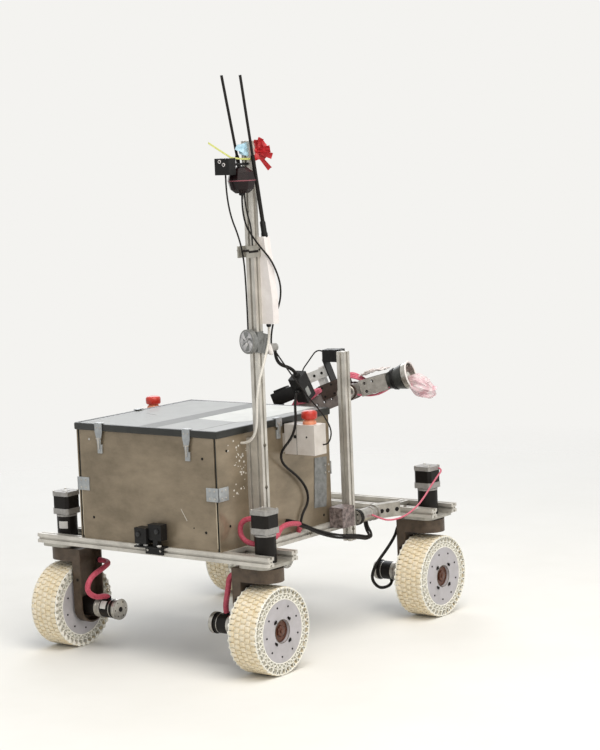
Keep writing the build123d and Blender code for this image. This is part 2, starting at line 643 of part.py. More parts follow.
CABLE_FIT = 0.3          # from a cable's end to what it goes into
BESIDE_BOX = -BOX_HALF - 10
STOP_FACE = -STOP_IN - STOP_BOX[1]
GEARBOX_SIDE = -TRACK / 2 + GEARBOX_R    # right gearboxes, on their side towards the box
CABLES = (
    # mast camera, through the clamp to the lamp
    (3.0, (
        (CAMERA_X, MAST_Y, CAMERA_Z - CAMERA_H / 2 - CABLE_FIT),
        (CAMERA_X - 2, MAST_Y, CAMERA_Z - 100),
        (MAST_X - 40, MAST_Y, CLAMP_Z + 16),
        (MAST_X - 32, MAST_Y, CLAMP_Z - 100),
        (MAST_X - 30, MAST_Y + 2, LAMP_Z + LAMP_R + CABLE_FIT),
    )),
    # beacon, past the clamp and across the radio to the connector on the mast
    (3.0, (
        (BEACON_X, BEACON_Y, BEACON_Z - 32 - CABLE_FIT),
        (BEACON_X - 6, BEACON_Y, BEACON_Z - 100),
        (MAST_X - 8, MAST_Y - 24, CLAMP_Z + 18),
        (ANTENNA_X, RADIO_OUT + 2, CLAMP_Z - 30),
        (ANTENNA_X + 34, RADIO_OUT, RADIO_TOP - 150),
        (MAST_X + 62, MAST_Y, LAMP_Z + 26),
        (MAST_X + 62, MAST_Y, CONNECTOR_Z + 10 + CABLE_FIT),
    )),
    # radio's foot across the mast to the right panel
    (3.5, (
        (ANTENNA_X, MAST_Y - 22, RADIO_LOW - CABLE_FIT),
        (ANTENNA_X, MAST_Y - 24, RADIO_LOW - 36),
        (MAST_X - 6, MAST_Y - 28, LAMP_Z - 53),
        (MAST_X - 40, MAST_Y - 25, BOX_TOP + 100),
        (MAST_X - 34, MAST_Y - 15, BOX_TOP - 39),
        (MAST_X - 34, -BOX_HALF - CABLE_FIT, BOX_TOP - 39),
    )),
    # connector to the hanging box
    (4.5, (
        (CONNECTOR_END - 5, MAST_Y - 3, CONNECTOR_Z - 10 - CABLE_FIT),
        (CONNECTOR_END - 5, MAST_Y - 3, CONNECTOR_Z - 44),
        on_inline(0, INLINE_H / 2 + 24),
        on_inline(0, INLINE_H / 2 + CABLE_FIT),
    )),
    # hanging box, past the stop box and down the right panel to the rail
    (3.5, (
        on_inline(-INLINE_W / 2 - CABLE_FIT, 0),
        on_inline(-INLINE_W / 2 - 22, 0),
        (STOP_X - 34, INLINE_Y, BOX_TOP - 31),
        (STOP_X - 74, BESIDE_BOX - 1, BOX_TOP - 98),
        (STOP_X + 50, BESIDE_BOX, BOX_TOP - 176),
        (STOP_X + 74, BESIDE_BOX, FRAME_TOP + 76),
        (STOP_X + 33, BESIDE_BOX + 4, FRAME_TOP + 36),
        (STOP_X + 33, BESIDE_BOX + 4, FRAME_TOP + CABLE_FIT),
    )),
    # connector to the stop box's outer face
    (2.0, (
        (CONNECTOR_END - 12, MAST_Y - 8, CONNECTOR_Z - 9),
        (CONNECTOR_END + 6, STOP_FACE + 5, BOX_TOP + 101),
        (STOP_X + 40, STOP_FACE - 12, BOX_TOP - 17),
        (STOP_X + 12, STOP_FACE - 22, BOX_TOP - 67),
        (STOP_X + 12, STOP_FACE - CABLE_FIT, BOX_TOP - 67),
    )),
    # loom from the right panel, under the connector box to the sampling unit
    (7.5, (
        (STOP_X - 20, -BOX_HALF - CABLE_FIT, FRAME_TOP + 35),
        (STOP_X - 20, BESIDE_BOX - 20, FRAME_TOP + 35),
        (POST_X - 122, BESIDE_BOX - 34, FRAME_TOP - 26),
        (POST_X, POST_Y - 34, FRAME_TOP - 44),
        (SAMPLER_X + 40, POST_Y - 30, FRAME_TOP - 56),
        (SAMPLER_X + 50, SAMPLER_Y, FRAME_TOP - 46),
        (SAMPLER_X + 50, SAMPLER_Y, SAMPLER_Z - SAMPLER_R + 3 - CABLE_FIT),
    )),
    # lead of the front right stepper, to the sampling unit
    (3.0, (
        (BASE / 2 + 18, -TRACK / 2 - STEPPER / 2 - CABLE_FIT, STEPPER_TOP - 8),
        (BASE / 2 + 16, -TRACK / 2 - STEPPER / 2 - 14, STEPPER_TOP - 12),
        (BASE / 2 - 40, -TRACK / 2 - STEPPER / 2 - 12, CAP_LOW - 20),
        (INNER - SLOT / 2 - 10, -TRACK / 2 + 8, FRAME_TOP + 10),
        (SAMPLER_X + 66, SAMPLER_Y - SAMPLER_R - 22, FRAME_TOP - 12),
        (SAMPLER_X + 52, SAMPLER_Y - SAMPLER_R - 10, SAMPLER_Z),
        (SAMPLER_X + 52, SAMPLER_Y - SAMPLER_R + 3 - CABLE_FIT, SAMPLER_Z),
    )),
    # lead of the rear right stepper, looped down to its gearbox
    (7.0, (
        (-BASE / 2, -TRACK / 2 + STEPPER / 2 + CABLE_FIT, STEPPER_TOP - 27),
        (-BASE / 2, -BOX_HALF - 22, STEPPER_TOP - 27),
        (-BASE / 2, -BOX_HALF - 22, FRAME_TOP + 18),
        (-BASE / 2, GEARBOX_SIDE + CABLE_FIT, FRAME_TOP + 18),
    )),
)
with BuildPart() as cables:
    for radius, points in CABLES:
        add(cable(radius, points))
save("cables", cables)

# Sleeves of the drive motors' leads: from the motor's rear side up to the fork's skirt.
# Radius, then offset along x from the axle, distance inboard from the wheel's middle and height.
# Rear leads run in a wide sleeve, and front ones hang in a loop.
SLEEVES = {
    -1: (7.5, (
        (-DRIVE_BODY[2] - CABLE_FIT, 138, AXLE_Z),
        (-56, 138, AXLE_Z),
        (-54, 103, AXLE_Z + 57),
        (-26, LEG_OUT + 20, SKIRT_Z + 14),
        (-26, LEG_OUT + CABLE_FIT, SKIRT_Z + 14),
    )),
    1: (4.5, (
        (0, 134, AXLE_Z - DRIVE_BODY[2] - CABLE_FIT),
        (0, 134, AXLE_Z - 44),
        (-72, 134, AXLE_Z - 41),
        (-112, 134, AXLE_Z + 13),
        (-20, 104, AXLE_Z + 100),
        (-8, LEG_OUT + 20, SKIRT_Z + 15),
        (-8, LEG_OUT + CABLE_FIT, SKIRT_Z + 15),
    )),
}
for name, sx, sy in CORNERS:
    radius, route = SLEEVES[sx]
    points = []
    for offset, inboard, z in route:
        points.append((sx * BASE / 2 + offset, sy * (TRACK / 2 - inboard), z))
    with BuildPart() as motor_sleeve:
        add(cable(radius, points))
    save(f"motor_sleeve_{name}", motor_sleeve)

# Arm: column and turntable, upright; the links are drawn along +X in their own frames

BASE_TOP = 474.0
TURRET_Z = BASE_TOP + 6
TURN_R = 15.0            # turntable's shaft
TURNTABLE = Location((ARM_X, ARM_Y, 0), (0, 0, ARM_TURN))
SHOULDER = TURNTABLE * Location((0, 0, SHOULDER_Z), (0, -UPPER_TILT, 0))
ELBOW = SHOULDER * Location((UPPER_L, 0, 0), (0, UPPER_TILT - FOREARM_TILT, 0))

with BuildPart() as arm_column:
    with Locations((0, 0, FRAME_TOP)):
        Box(110, 110, 6, align=(Align.CENTER, Align.CENTER, Align.MIN))
        Box(60, 60, BASE_TOP - FRAME_TOP, align=(Align.CENTER, Align.CENTER, Align.MIN))
    with Locations((0, 0, BASE_TOP)):
        Cylinder(55, 10, align=(Align.CENTER, Align.CENTER, Align.MAX))
        Cylinder(TURN_R + RUN_FIT, 20, align=(Align.CENTER, Align.CENTER, Align.MAX),
                 mode=Mode.SUBTRACT)
save("arm_column", arm_column, (Location((ARM_X, ARM_Y, 0)),))

SHAFT = 6.0              # shoulder and elbow shafts
CHEEK_IN = CHANNEL / 2 + 5.5
CHEEK_T = 6.0
CHEEK_R = 26.0
with BuildPart() as arm_turret:
    with Locations((0, 0, TURRET_Z)):
        Cylinder(55, 12, align=(Align.CENTER, Align.CENTER, Align.MIN))
        Cylinder(TURN_R, 22, align=(Align.CENTER, Align.CENTER, Align.MAX))
    for y in (CHEEK_IN, -CHEEK_IN - CHEEK_T):
        with BuildSketch(Plane(origin=(0, y, 0), x_dir=(-1, 0, 0), z_dir=(0, 1, 0))):
            with Locations((0, (TURRET_Z + SHOULDER_Z) / 2)):
                Rectangle(2 * CHEEK_R, SHOULDER_Z - TURRET_Z)
            with Locations((0, SHOULDER_Z)):
                Circle(CHEEK_R)
        extrude(amount=CHEEK_T)
    with Locations(Location((0, 0, SHOULDER_Z), (90, 0, 0))):
        Cylinder(SHAFT + RUN_FIT, 2 * (CHEEK_IN + CHEEK_T + 2), mode=Mode.SUBTRACT)
save("arm_turret", arm_turret, (TURNTABLE,))

SHOULDER_MOTOR_L = 60.0  # short enough to pass the box when the arm turns to the left
with BuildPart() as shoulder_motor:
    with Locations(Location((0, CHEEK_IN + CHEEK_T, SHOULDER_Z), (-90, 0, 0))):
        Cylinder(22, SHOULDER_MOTOR_L, align=(Align.CENTER, Align.CENTER, Align.MIN))
save("shoulder_motor", shoulder_motor, (TURNTABLE,))


def across(x, y):
    """A plane along the arm, with its sketches' x along the link and their y upwards."""
    return Plane(origin=(x, y, 0), x_dir=(1, 0, 0), z_dir=(0, -1, 0))


# Upper arm: a channel open upwards, so that its cables lie in it
LINK_END = CHANNEL / 2
with BuildPart() as upper_arm:
    with BuildSketch(across(UPPER_L / 2, CHANNEL / 2)):
        SlotCenterToCenter(UPPER_L, CHANNEL)
    extrude(amount=CHANNEL)
    with Locations((UPPER_L / 2, 0, CHANNEL_T)):
        Box(UPPER_L + 2 * CHANNEL, CHANNEL - 2 * CHANNEL_T, CHANNEL, mode=Mode.SUBTRACT)
    with Locations((UPPER_L, 0, 0)):
        Box(2 * LINK_END + 28, CHANNEL - 2 * CHANNEL_T, 2 * CHANNEL, mode=Mode.SUBTRACT)
    with BuildSketch(across(UPPER_L / 2, CHANNEL)):
        with GridLocations(HOLE_STEP, HOLE_STEP, 6, 1):
            Circle(4)
    extrude(amount=2 * CHANNEL, mode=Mode.SUBTRACT)
    with Locations(Location((0, 0, 0), (90, 0, 0))):
        Cylinder(SHAFT, 2 * (CHEEK_IN + CHEEK_T))
    with Locations(Location((UPPER_L, 0, 0), (90, 0, 0))):
        Cylinder(SHAFT, CHANNEL)
save("upper_arm", upper_arm, (SHOULDER,))

# Dark bracket round the elbow: plates outside the channel, joined by a web that carries the camera
BRACE_TOP = 46.0
BRACE_LOW = 4.0
BRACE_T = 3.0
WEB_X = (150.0, 200.0)
with BuildPart() as elbow_bracket:
    for side, start in ((1, 120), (-1, WEB_X[0])):
        with BuildSketch(across(0, side * (CHANNEL + BRACE_T) / 2 + BRACE_T / 2)):
            with Locations(((start + UPPER_L) / 2, (BRACE_TOP + BRACE_LOW) / 2)):
                Rectangle(UPPER_L - start, BRACE_TOP - BRACE_LOW)
            with Locations((UPPER_L, 0)):
                Circle(LINK_END)
        extrude(amount=BRACE_T)
    with Locations(((WEB_X[0] + WEB_X[1]) / 2, 0, BRACE_TOP - BRACE_T / 2)):
        Box(WEB_X[1] - WEB_X[0], CHANNEL + BRACE_T, BRACE_T)
save("elbow_bracket", elbow_bracket, (SHOULDER,))

BOOM_END = 188.0
with BuildPart() as camera_boom:
    with Locations((WEB_X[0], 0, BRACE_TOP)):
        Box(20, 20, 20, align=(Align.MIN, Align.CENTER, Align.MIN))
    with Locations((BOOM_END, 0, BRACE_TOP + 32)):
        Box(80, 28, 28, align=(Align.MAX, Align.CENTER, Align.CENTER))
save("camera_boom", camera_boom, (SHOULDER,))

with BuildPart() as arm_camera:
    with Locations((BOOM_END, 0, BRACE_TOP)):
        Box(4, 40, 66, align=(Align.MIN, Align.CENTER, Align.MIN))
    with Locations(Location((BOOM_END + 30, 0, BRACE_TOP + 66), (0, UPPER_TILT, 0))):
        Box(52, 42, 34)
save("arm_camera", arm_camera, (SHOULDER,))

ELBOW_MOTOR_R = 18.5
with BuildPart() as elbow_motor:
    with Locations(Location((UPPER_L, -CHANNEL / 2 - BRACE_T, 0), (90, 0, 0))):
        Cylinder(ELBOW_MOTOR_R, 40, align=(Align.CENTER, Align.CENTER, Align.MIN))
save("elbow_motor", elbow_motor, (SHOULDER,))

TONGUE = 15.0            # half of its width, between the upper arm's plates
FOREARM_START = 36.0
FOREARM_END = 116.0
FOREARM_H = 46.0
with BuildPart() as forearm:
    with Locations(Location((0, 0, 0), (90, 0, 0))):
        Cylinder(20, 2 * TONGUE)
    with Locations((FOREARM_START / 2 + 10, 0, 0)):
        Box(FOREARM_START + 20, 2 * TONGUE, 34)
    with Locations(Location((0, 0, 0), (90, 0, 0))):
        Cylinder(SHAFT + RUN_FIT, 2 * TONGUE, mode=Mode.SUBTRACT)
    with BuildSketch(Plane.YZ.offset(FOREARM_START)):
        Rectangle(CHANNEL, FOREARM_H)
        with Locations((0, CHANNEL_T)):
            Rectangle(CHANNEL - 2 * CHANNEL_T, FOREARM_H, mode=Mode.SUBTRACT)
    extrude(amount=FOREARM_END - FOREARM_START)
    with BuildSketch(across(FOREARM_START + 16, CHANNEL)):
        with Locations((0, HOLE_STEP / 2), (0, -HOLE_STEP / 2), (HOLE_STEP, HOLE_STEP / 2)):
            Circle(4.5)
    extrude(amount=2 * CHANNEL, mode=Mode.SUBTRACT)
    with Locations((FOREARM_START, 0, 0), (FOREARM_END - 6, 0, 0)):
        Box(6, CHANNEL, FOREARM_H, align=(Align.MIN, Align.CENTER, Align.CENTER))
save("forearm", forearm, (ELBOW,))

# Wrist: a dark cone, and an open bowl that rolls on it and holds the hand
WRIST_END = 165.0
WRIST_R = 8.0
BOWL_R = 39.0
BOWL_GAP = 2.0
BOWL_L = 16.0
with BuildPart() as wrist_cone:
    with Locations(along_x(FOREARM_END, 0, 0)):
        Cone(23, BOWL_R - 3, WRIST_END - FOREARM_END, align=(Align.CENTER, Align.CENTER, Align.MIN))
    with Locations(along_x(WRIST_END, 0, 0)):
        Cylinder(WRIST_R + RUN_FIT, 40, mode=Mode.SUBTRACT)
save("wrist_cone", wrist_cone, (ELBOW,))

BOWL_X = WRIST_END + BOWL_GAP
with BuildPart() as wrist_bowl:
    with Locations(along_x(BOWL_X, 0, 0)):
        Cone(BOWL_R - 3, BOWL_R, BOWL_L, align=(Align.CENTER, Align.CENTER, Align.MIN))
    with Locations(along_x(BOWL_X + 3, 0, 0)):
        Cylinder(BOWL_R - 6, BOWL_L, align=(Align.CENTER, Align.CENTER, Align.MIN),
                 mode=Mode.SUBTRACT)
    with Locations(along_x(WRIST_END - 15, 0, 0)):
        Cylinder(WRIST_R, 15 + BOWL_GAP, align=(Align.CENTER, Align.CENTER, Align.MIN))
save("wrist_bowl", wrist_bowl, (ELBOW,))

# Bagged hand, drooping out of the bowl: place along the forearm, height, radius
HAND = ((BOWL_X + 3.5, -6, 18), (BOWL_X + 35, -12, 26), (235, -32, 34), (262, -54, 20))
with BuildPart() as gripper_in_place:
    for (x0, z0, r0), (x1, z1, r1) in zip(HAND, HAND[1:]):
        for x, z, radius in ((x0, z0, r0), (x1, z1, r1)):
            with BuildSketch(Plane(ELBOW * Location((x, 0, z), (0, 90, 0)))):
                RegularPolygon(radius, 10)
        loft(ruled=True)
    split(bisect_by=Plane(origin=(0, -ARM_REACH, 0), z_dir=(0, 1, 0)), keep=Keep.TOP)
save("gripper", gripper_in_place)
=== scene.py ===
"""Looks of a four-wheel-steer field rover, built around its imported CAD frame.

Places are given as in the CAD drawing, in millimetres about the centre line between the wheels,
and at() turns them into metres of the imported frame.
"""

import json
import random
from math import atan2, cos, radians, sin, tau

import bmesh
import bpy
from mathutils import Matrix, Vector, noise


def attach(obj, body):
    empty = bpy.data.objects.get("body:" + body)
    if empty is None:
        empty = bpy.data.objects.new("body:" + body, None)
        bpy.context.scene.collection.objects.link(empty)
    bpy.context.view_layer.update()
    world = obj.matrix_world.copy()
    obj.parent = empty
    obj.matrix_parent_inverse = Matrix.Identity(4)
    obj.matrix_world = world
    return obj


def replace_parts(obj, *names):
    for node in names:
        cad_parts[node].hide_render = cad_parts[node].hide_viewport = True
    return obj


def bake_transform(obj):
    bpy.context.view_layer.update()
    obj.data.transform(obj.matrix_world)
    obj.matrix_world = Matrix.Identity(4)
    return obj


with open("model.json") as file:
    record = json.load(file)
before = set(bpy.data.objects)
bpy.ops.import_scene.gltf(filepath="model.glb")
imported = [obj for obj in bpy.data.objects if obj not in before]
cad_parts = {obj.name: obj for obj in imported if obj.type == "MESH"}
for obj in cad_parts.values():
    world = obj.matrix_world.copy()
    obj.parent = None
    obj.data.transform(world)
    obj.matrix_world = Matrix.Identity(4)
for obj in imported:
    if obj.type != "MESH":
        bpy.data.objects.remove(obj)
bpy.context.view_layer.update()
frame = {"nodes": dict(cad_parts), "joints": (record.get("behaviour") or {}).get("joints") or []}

MM = 0.001
SHIFT_Y = 30.0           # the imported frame's origin lies this far right of the centre line
CORNERS = ("rear_left", "rear_right", "front_left", "front_right")
JOINTS = {joint["name"]: joint for joint in frame["joints"]}
NODES = frame["nodes"]
HALF_BASE = 375.0        # from the middle to an axle
HALF_TRACK = 345.0       # from the centre line to the middle of a tyre


def at(x, y, z):
    """A place of the drawing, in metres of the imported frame."""
    return Vector((x, y + SHIFT_Y, z)) * MM


def shift(x, y, z):
    """A move along a frame's own axes, in millimetres."""
    return Matrix.Translation(Vector((x, y, z)) * MM)


def rotate(degrees, axis):
    """A turn about one of a frame's own axes."""
    return Matrix.Rotation(radians(degrees), 4, axis)


# Finishes


def linear(code):
    """A colour given as sRGB hex, as the linear values that a shader takes."""
    channels = []
    for start in (1, 3, 5):
        value = int(code[start:start + 2], 16) / 255
        channels.append(value / 12.92 if value <= 0.04045 else ((value + 0.055) / 1.055) ** 2.4)
    return (*channels, 1.0)


def add(tree, kind, inputs=(), **settings):
    """Add a shader node with its settings, and the values or the links of its sockets."""
    made = tree.nodes.new("ShaderNode" + kind)
    for name, value in settings.items():
        setattr(made, name, value)
    for name, value in dict(inputs).items():
        if isinstance(value, bpy.types.NodeSocket):
            tree.links.new(value, made.inputs[name])
        else:
            made.inputs[name].default_value = value
    return made


def two_tone(tree, factor, low, high, first, second):
    """Colour that goes from the first to the second as the factor goes from low to high."""
    ramp = add(tree, "ValToRGB", {"Fac": factor})
    ramp.color_ramp.elements[0].position = low
    ramp.color_ramp.elements[0].color = linear(first)
    ramp.color_ramp.elements[1].position = high
    ramp.color_ramp.elements[1].color = linear(second)
    return ramp.outputs["Color"]


def surface(name, colour, worn, patch_mm, grain_mm, relief_mm, roughness, metallic=0.0,
            stretch=(1, 1, 1), contrast=0.22, **more):
    """A finish in two tones that mix in patches, over a fine grain that shows as relief."""
    material = bpy.data.materials.new(name)
    material.use_nodes = True
    tree = material.node_tree
    shader = tree.nodes["Principled BSDF"]
    where = add(tree, "TexCoord").outputs["Object"]
    drawn = add(tree, "Mapping", {"Vector": where, "Scale": stretch}).outputs["Vector"]
    patches = add(tree, "TexNoise", {"Vector": drawn, "Scale": 1 / (patch_mm * MM), "Detail": 6.0,
                                     "Roughness": 0.62})
    grain = add(tree, "TexNoise", {"Vector": drawn, "Scale": 1 / (grain_mm * MM), "Detail": 3.0})
    bump = add(tree, "Bump", {"Height": grain.outputs["Fac"], "Strength": 0.6,
                              "Distance": relief_mm * MM})
    tone = two_tone(tree, patches.outputs["Fac"], 0.5 - contrast, 0.5 + contrast, colour, worn)
    tree.links.new(tone, shader.inputs["Base Color"])
    tree.links.new(bump.outputs["Normal"], shader.inputs["Normal"])
    shader.inputs["Roughness"].default_value = roughness
    shader.inputs["Metallic"].default_value = metallic
    for socket, value in more.items():
        shader.inputs[socket.replace("_", " ")].default_value = value
    return material


# Clear anodised bar: satin, with fine drawing lines and a warm grey tone
anodised_bar = surface("anodised_bar", "#d9d5cc", "#b0aca4", 60, 0.9, 0.04, 0.34, 0.45)
# Machined aluminium plate and angle, slightly duller than the bar
milled_plate = surface("milled_plate", "#b9b6ad", "#8f8b82", 25, 1.0, 0.05, 0.45, 0.5)
# Zinc-plated pressings: latches and corner angles, bright with small stains
zinc_plate = surface("zinc_plate", "#b2b5b5", "#93979a", 16, 0.8, 0.04, 0.34, 0.35)
# Bent steel channel of the forks: grey-brown, smooth, dusty in patches
fork_coat = surface("fork_coat", "#5f5041", "#40352a", 22, 1.0, 0.06, 0.46, 0.25)
# Steel screws and small fittings under dust
dusty_steel = surface("dusty_steel", "#6e675a", "#4b463c", 28, 1.2, 0.06, 0.48, 0.35)
# Mill-finish sheet of the box: its brown, in wide soft clouds, is a painted reflection of the
# ground it mirrors
mill_sheet_reflections = surface("mill_sheet_reflections", "#a0917b", "#625745", 120, 3.0, 0.05, 0.3, 0.35,
                     stretch=(0.7, 0.7, 1.4), contrast=0.26)
# Cut edge of that sheet, and the duct tape that covers one of them
cream_edge = surface("cream_edge", "#d8cdb6", "#b9ab90", 20, 0.8, 0.05, 0.5)
duct_tape = surface("duct_tape", "#8d8e8c", "#656664", 14, 1.2, 0.2, 0.32, 0.35)
# The same sheet on the lid, pale with a painted reflection of the sky
lid_sky_reflection = surface("lid_sky_reflection", "#6c6d67", "#5d5e59", 90, 2.0, 0.04, 0.34, 0.1)
# Adhesive tape on the lid: dull silver, a whiter kind, and a brighter copy of that kind with a
# painted reflection of the sky
silver_tape = surface("silver_tape", "#4e4f4b", "#5e5f5b", 24, 2.5, 0.15, 0.5, 0.1)
white_tape = surface("white_tape", "#7e7f7a", "#70716d", 50, 3.0, 0.12, 0.42)
tape_sky_reflection = surface("tape_sky_reflection", "#bfc0ba", "#b0b1ab", 50, 3.0, 0.12, 0.42)
# Black paint on the motors: satin, with dust caught on it
motor_black = surface("motor_black", "#100d0b", "#1b1714", 12, 0.8, 0.05, 0.42,
                      Specular_IOR_Level=0.2)
# Die-cast end bells of the stepper motors
cast_bell = surface("cast_bell", "#aaa8a5", "#8d8a86", 10, 0.7, 0.08, 0.5, 0.4)
# Turned and bright parts of the gearmotors
turned_silver = surface("turned_silver", "#c9c6bf", "#94908a", 14, 0.6, 0.03, 0.28, 0.8)
# Inside of the wrist's bowl: polished, with a soft haze
reflector = surface("reflector", "#dcdad4", "#b4b1aa", 14, 0.8, 0.02, 0.2, 0.85)
# Crumpled foil tape over the lamp
lamp_foil = surface("lamp_foil", "#dddbda", "#8f8e90", 12, 1.2, 0.2, 0.3, 0.35)
# Nickel-brown reflector of the hub's centre: glossy, brown in the photograph
hub_brown = surface("hub_brown", "#6b3f2c", "#3c2419", 9, 1.5, 0.1, 0.25, 0.3)
# Flexible ivory print of the tyres, its cleaner side lattice, and a near-black wall of painted
# shade behind that
ivory_print = surface("ivory_print", "#f5ecd9", "#e5d4ae", 16, 0.8, 0.12, 0.6)
lattice_print = surface("lattice_print", "#fbfaf2", "#ece8da", 14, 0.8, 0.1, 0.58)
lattice_core = surface("lattice_core", "#1c1813", "#120f0c", 10, 0.8, 0.1, 0.8)
# Cut plastic discs of the wheels: pale grey with a lilac cast
disc_grey = surface("disc_grey", "#bfbbbf", "#adaaab", 40, 0.6, 0.02, 0.5)
# Black moulded plastic of cameras, housings and plugs
black_abs = surface("black_abs", "#111112", "#1c1b1a", 10, 0.5, 0.04, 0.42,
                    Specular_IOR_Level=0.22)
# Rubber edging of the lid
edge_rubber = surface("edge_rubber", "#151715", "#242521", 25, 1.0, 0.08, 0.38)
# White printed plastic: radio housing, knob, rims and the small blocks of the boom
white_print = surface("white_print", "#f5f0ed", "#e7e0dc", 30, 0.8, 0.06, 0.45)
# Pale grey moulded box of the stop buttons
box_grey = surface("box_grey", "#ddd7d0", "#c9c1b8", 40, 0.6, 0.03, 0.4)
# Stop button: red glossy mushroom on an orange-pink collar
stop_red = surface("stop_red", "#cf3a2a", "#b52c20", 12, 0.5, 0.01, 0.3)
stop_collar = surface("stop_collar", "#f0a17c", "#dd8560", 8, 0.5, 0.01, 0.35)
# Beacon: dark red moulding with a faded seam
beacon_red = surface("beacon_red", "#1d090b", "#100607", 9, 0.6, 0.03, 0.25,
                     Specular_IOR_Level=0.3)
beacon_seam = surface("beacon_seam", "#94505a", "#7a4048", 6, 0.5, 0.02, 0.4)
# Whip antennas and cable jackets
jacket_black = surface("jacket_black", "#100d0b", "#1a1613", 8, 0.7, 0.03, 0.5,
                       Specular_IOR_Level=0.25)
# White cable jacket, and the bright specks on the panel
jacket_white = surface("jacket_white", "#e6e2da", "#cfcac0", 8, 0.7, 0.03, 0.5)
# Braided sleeve and silicone wire in pink
sleeve_pink = surface("sleeve_pink", "#cc5a6e", "#a83448", 6, 1.2, 0.25, 0.6)
wire_pink = surface("wire_pink", "#d9788b", "#bd4c61", 6, 0.8, 0.1, 0.5)
# Perforated channel of the arm: pinkish grey, and the darker brackets
arm_grey = surface("arm_grey", "#9a908c", "#7d7470", 14, 0.7, 0.04, 0.45, 0.3)
arm_dark = surface("arm_dark", "#4c3d37", "#33281f", 12, 0.8, 0.05, 0.45, 0.2)
# Forearm's channel: the same, cleaner and brighter
forearm_grey = surface("forearm_grey", "#b5b1ab", "#8c8881", 12, 0.7, 0.04, 0.42, 0.35)
# Camera boom: bare channel, almost white where it mirrors the sky
bright_boom = surface("bright_boom", "#e2e1de", "#bdbbb6", 16, 0.7, 0.04, 0.3, 0.3)
# Wrist's cone: dark painted sheet, glossy at its edge
cone_dark = surface("cone_dark", "#343532", "#232422", 10, 0.8, 0.05, 0.36)
# Mottled connector box beside the post
mottled_grey = surface("mottled_grey", "#8d7f7c", "#4a413e", 9, 1.0, 0.2, 0.55, contrast=0.12)
# Cloth tape and ribbons: blue flag, yellow-green tie, red ribbon, white wrap
blue_tape = surface("blue_tape", "#bcd9e6", "#8fbdd2", 12, 0.8, 0.1, 0.55)
tie_green = surface("tie_green", "#d9dc8a", "#c3c765", 10, 0.8, 0.05, 0.5)
ribbon_red = surface("ribbon_red", "#c8141e", "#9c0d15", 10, 0.7, 0.15, 0.5)
white_wrap = surface("white_wrap", "#e9e4df", "#cdbfbd", 9, 0.9, 0.2, 0.5)
# Blank labels on motors and boxes
label_white = surface("label_white", "#dedcd8", "#cfccc6", 14, 0.5, 0.01, 0.5)
label_grey = surface("label_grey", "#8f918e", "#7d7f7c", 14, 0.5, 0.01, 0.5)
# Glass of the small lenses
lens_glass = surface("lens_glass", "#0b0c0e", "#15171b", 6, 0.5, 0.0, 0.08)


def film_bag():
    """Thin plastic bag: clear film, white at its folds and pink where the hand shows through."""
    material = surface("film_bag", "#f6f1f0", "#e9b3be", 22, 3.0, 0.9, 0.14, contrast=0.2)
    shader = material.node_tree.nodes["Principled BSDF"]
    shader.inputs["Alpha"].default_value = 0.62
    return material


BAG_FILM = film_bag()
FINISH_OF_NODE = {
    "rear_crossbars": anodised_bar, "front_crossbars": anodised_bar, "side_rails": anodised_bar,
    "uprights": anodised_bar, "mast_support": anodised_bar, "brackets": zinc_plate,
    "bearing_plates": milled_plate, "mast_clamp": milled_plate, "steer_gearboxes": motor_black,
    "steer_steppers": motor_black, "stepper_caps": cast_bell, "box_panels": mill_sheet_reflections,
    "box_corner_posts": edge_rubber, "battery": black_abs, "stop_boxes": box_grey,
    "stop_buttons": stop_red, "black_housings": black_abs, "beacon": beacon_red,
    "radio": white_print, "antennas": jacket_black, "mast_lamp": milled_plate,
    "connector_box": mottled_grey, "sampler_motor": turned_silver, "sampler_channel": milled_plate,
    "arm_column": milled_plate, "lid_sheet": lid_sky_reflection, "lid_trim": edge_rubber,
    "latch_hooks": zinc_plate, "arm_turret": milled_plate, "shoulder_motor": motor_black,
    "upper_arm": arm_grey, "elbow_bracket": arm_dark, "elbow_motor": turned_silver,
    "camera_boom": bright_boom, "arm_camera": black_abs, "forearm": forearm_grey,
    "wrist_cone": cone_dark, "wrist_bowl": turned_silver,
}
FINISH_OF_KIND = {
    "fork": fork_coat, "drive_motor": motor_black, "wheel_hub": disc_grey, "tyre": ivory_print,
    "motor_sleeve_rear": sleeve_pink, "motor_sleeve_front": jacket_black,
    "cables": jacket_black, "gripper": white_wrap,
}


def dress_frame():
    """Give every CAD node its finish."""
    for name, node in NODES.items():
        finish = FINISH_OF_NODE.get(name)
        for kind, shared in FINISH_OF_KIND.items():
            if name.startswith(kind):
                finish = shared
        node.data.materials.clear()
        node.data.materials.append(finish)


# Shapes

NEARLY_UPRIGHT = 1e-4    # sine of the angle under which a direction counts as upright


def show(name, mesh, body, finish, round_angle=35):
    """Make one piece of a bmesh, ride it on its body and give it its finish."""
    bmesh.ops.recalc_face_normals(mesh, faces=mesh.faces)
    data = bpy.data.meshes.new(name)
    mesh.to_mesh(data)
    mesh.free()
    data.materials.append(finish)
    piece = bpy.data.objects.new(name, data)
    bpy.context.scene.collection.objects.link(piece)
    for polygon in data.polygons:
        polygon.use_smooth = True
    data.set_sharp_from_angle(angle=radians(round_angle))
    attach(piece, body)
    return piece


def aim(place, direction):
    """A frame at a place with its Z along a direction and its Y as upright as that allows."""
    z = Vector(direction).normalized()
    x = Vector((0, 0, 1)).cross(z)
    if x.length < NEARLY_UPRIGHT:
        x = Vector((1, 0, 0))
    x.normalize()
    turn = Matrix((x, z.cross(x), z)).transposed().to_4x4()
    return Matrix.Translation(place) @ turn


def angles(count, first=0.0):
    """Evenly spaced angles of a full turn."""
    return [first + tau * turn / count for turn in range(count)]


def on_circle(radius, angle, height):
    """A place round a frame's Z, in millimetres."""
    return Vector((radius * cos(angle), radius * sin(angle), height))


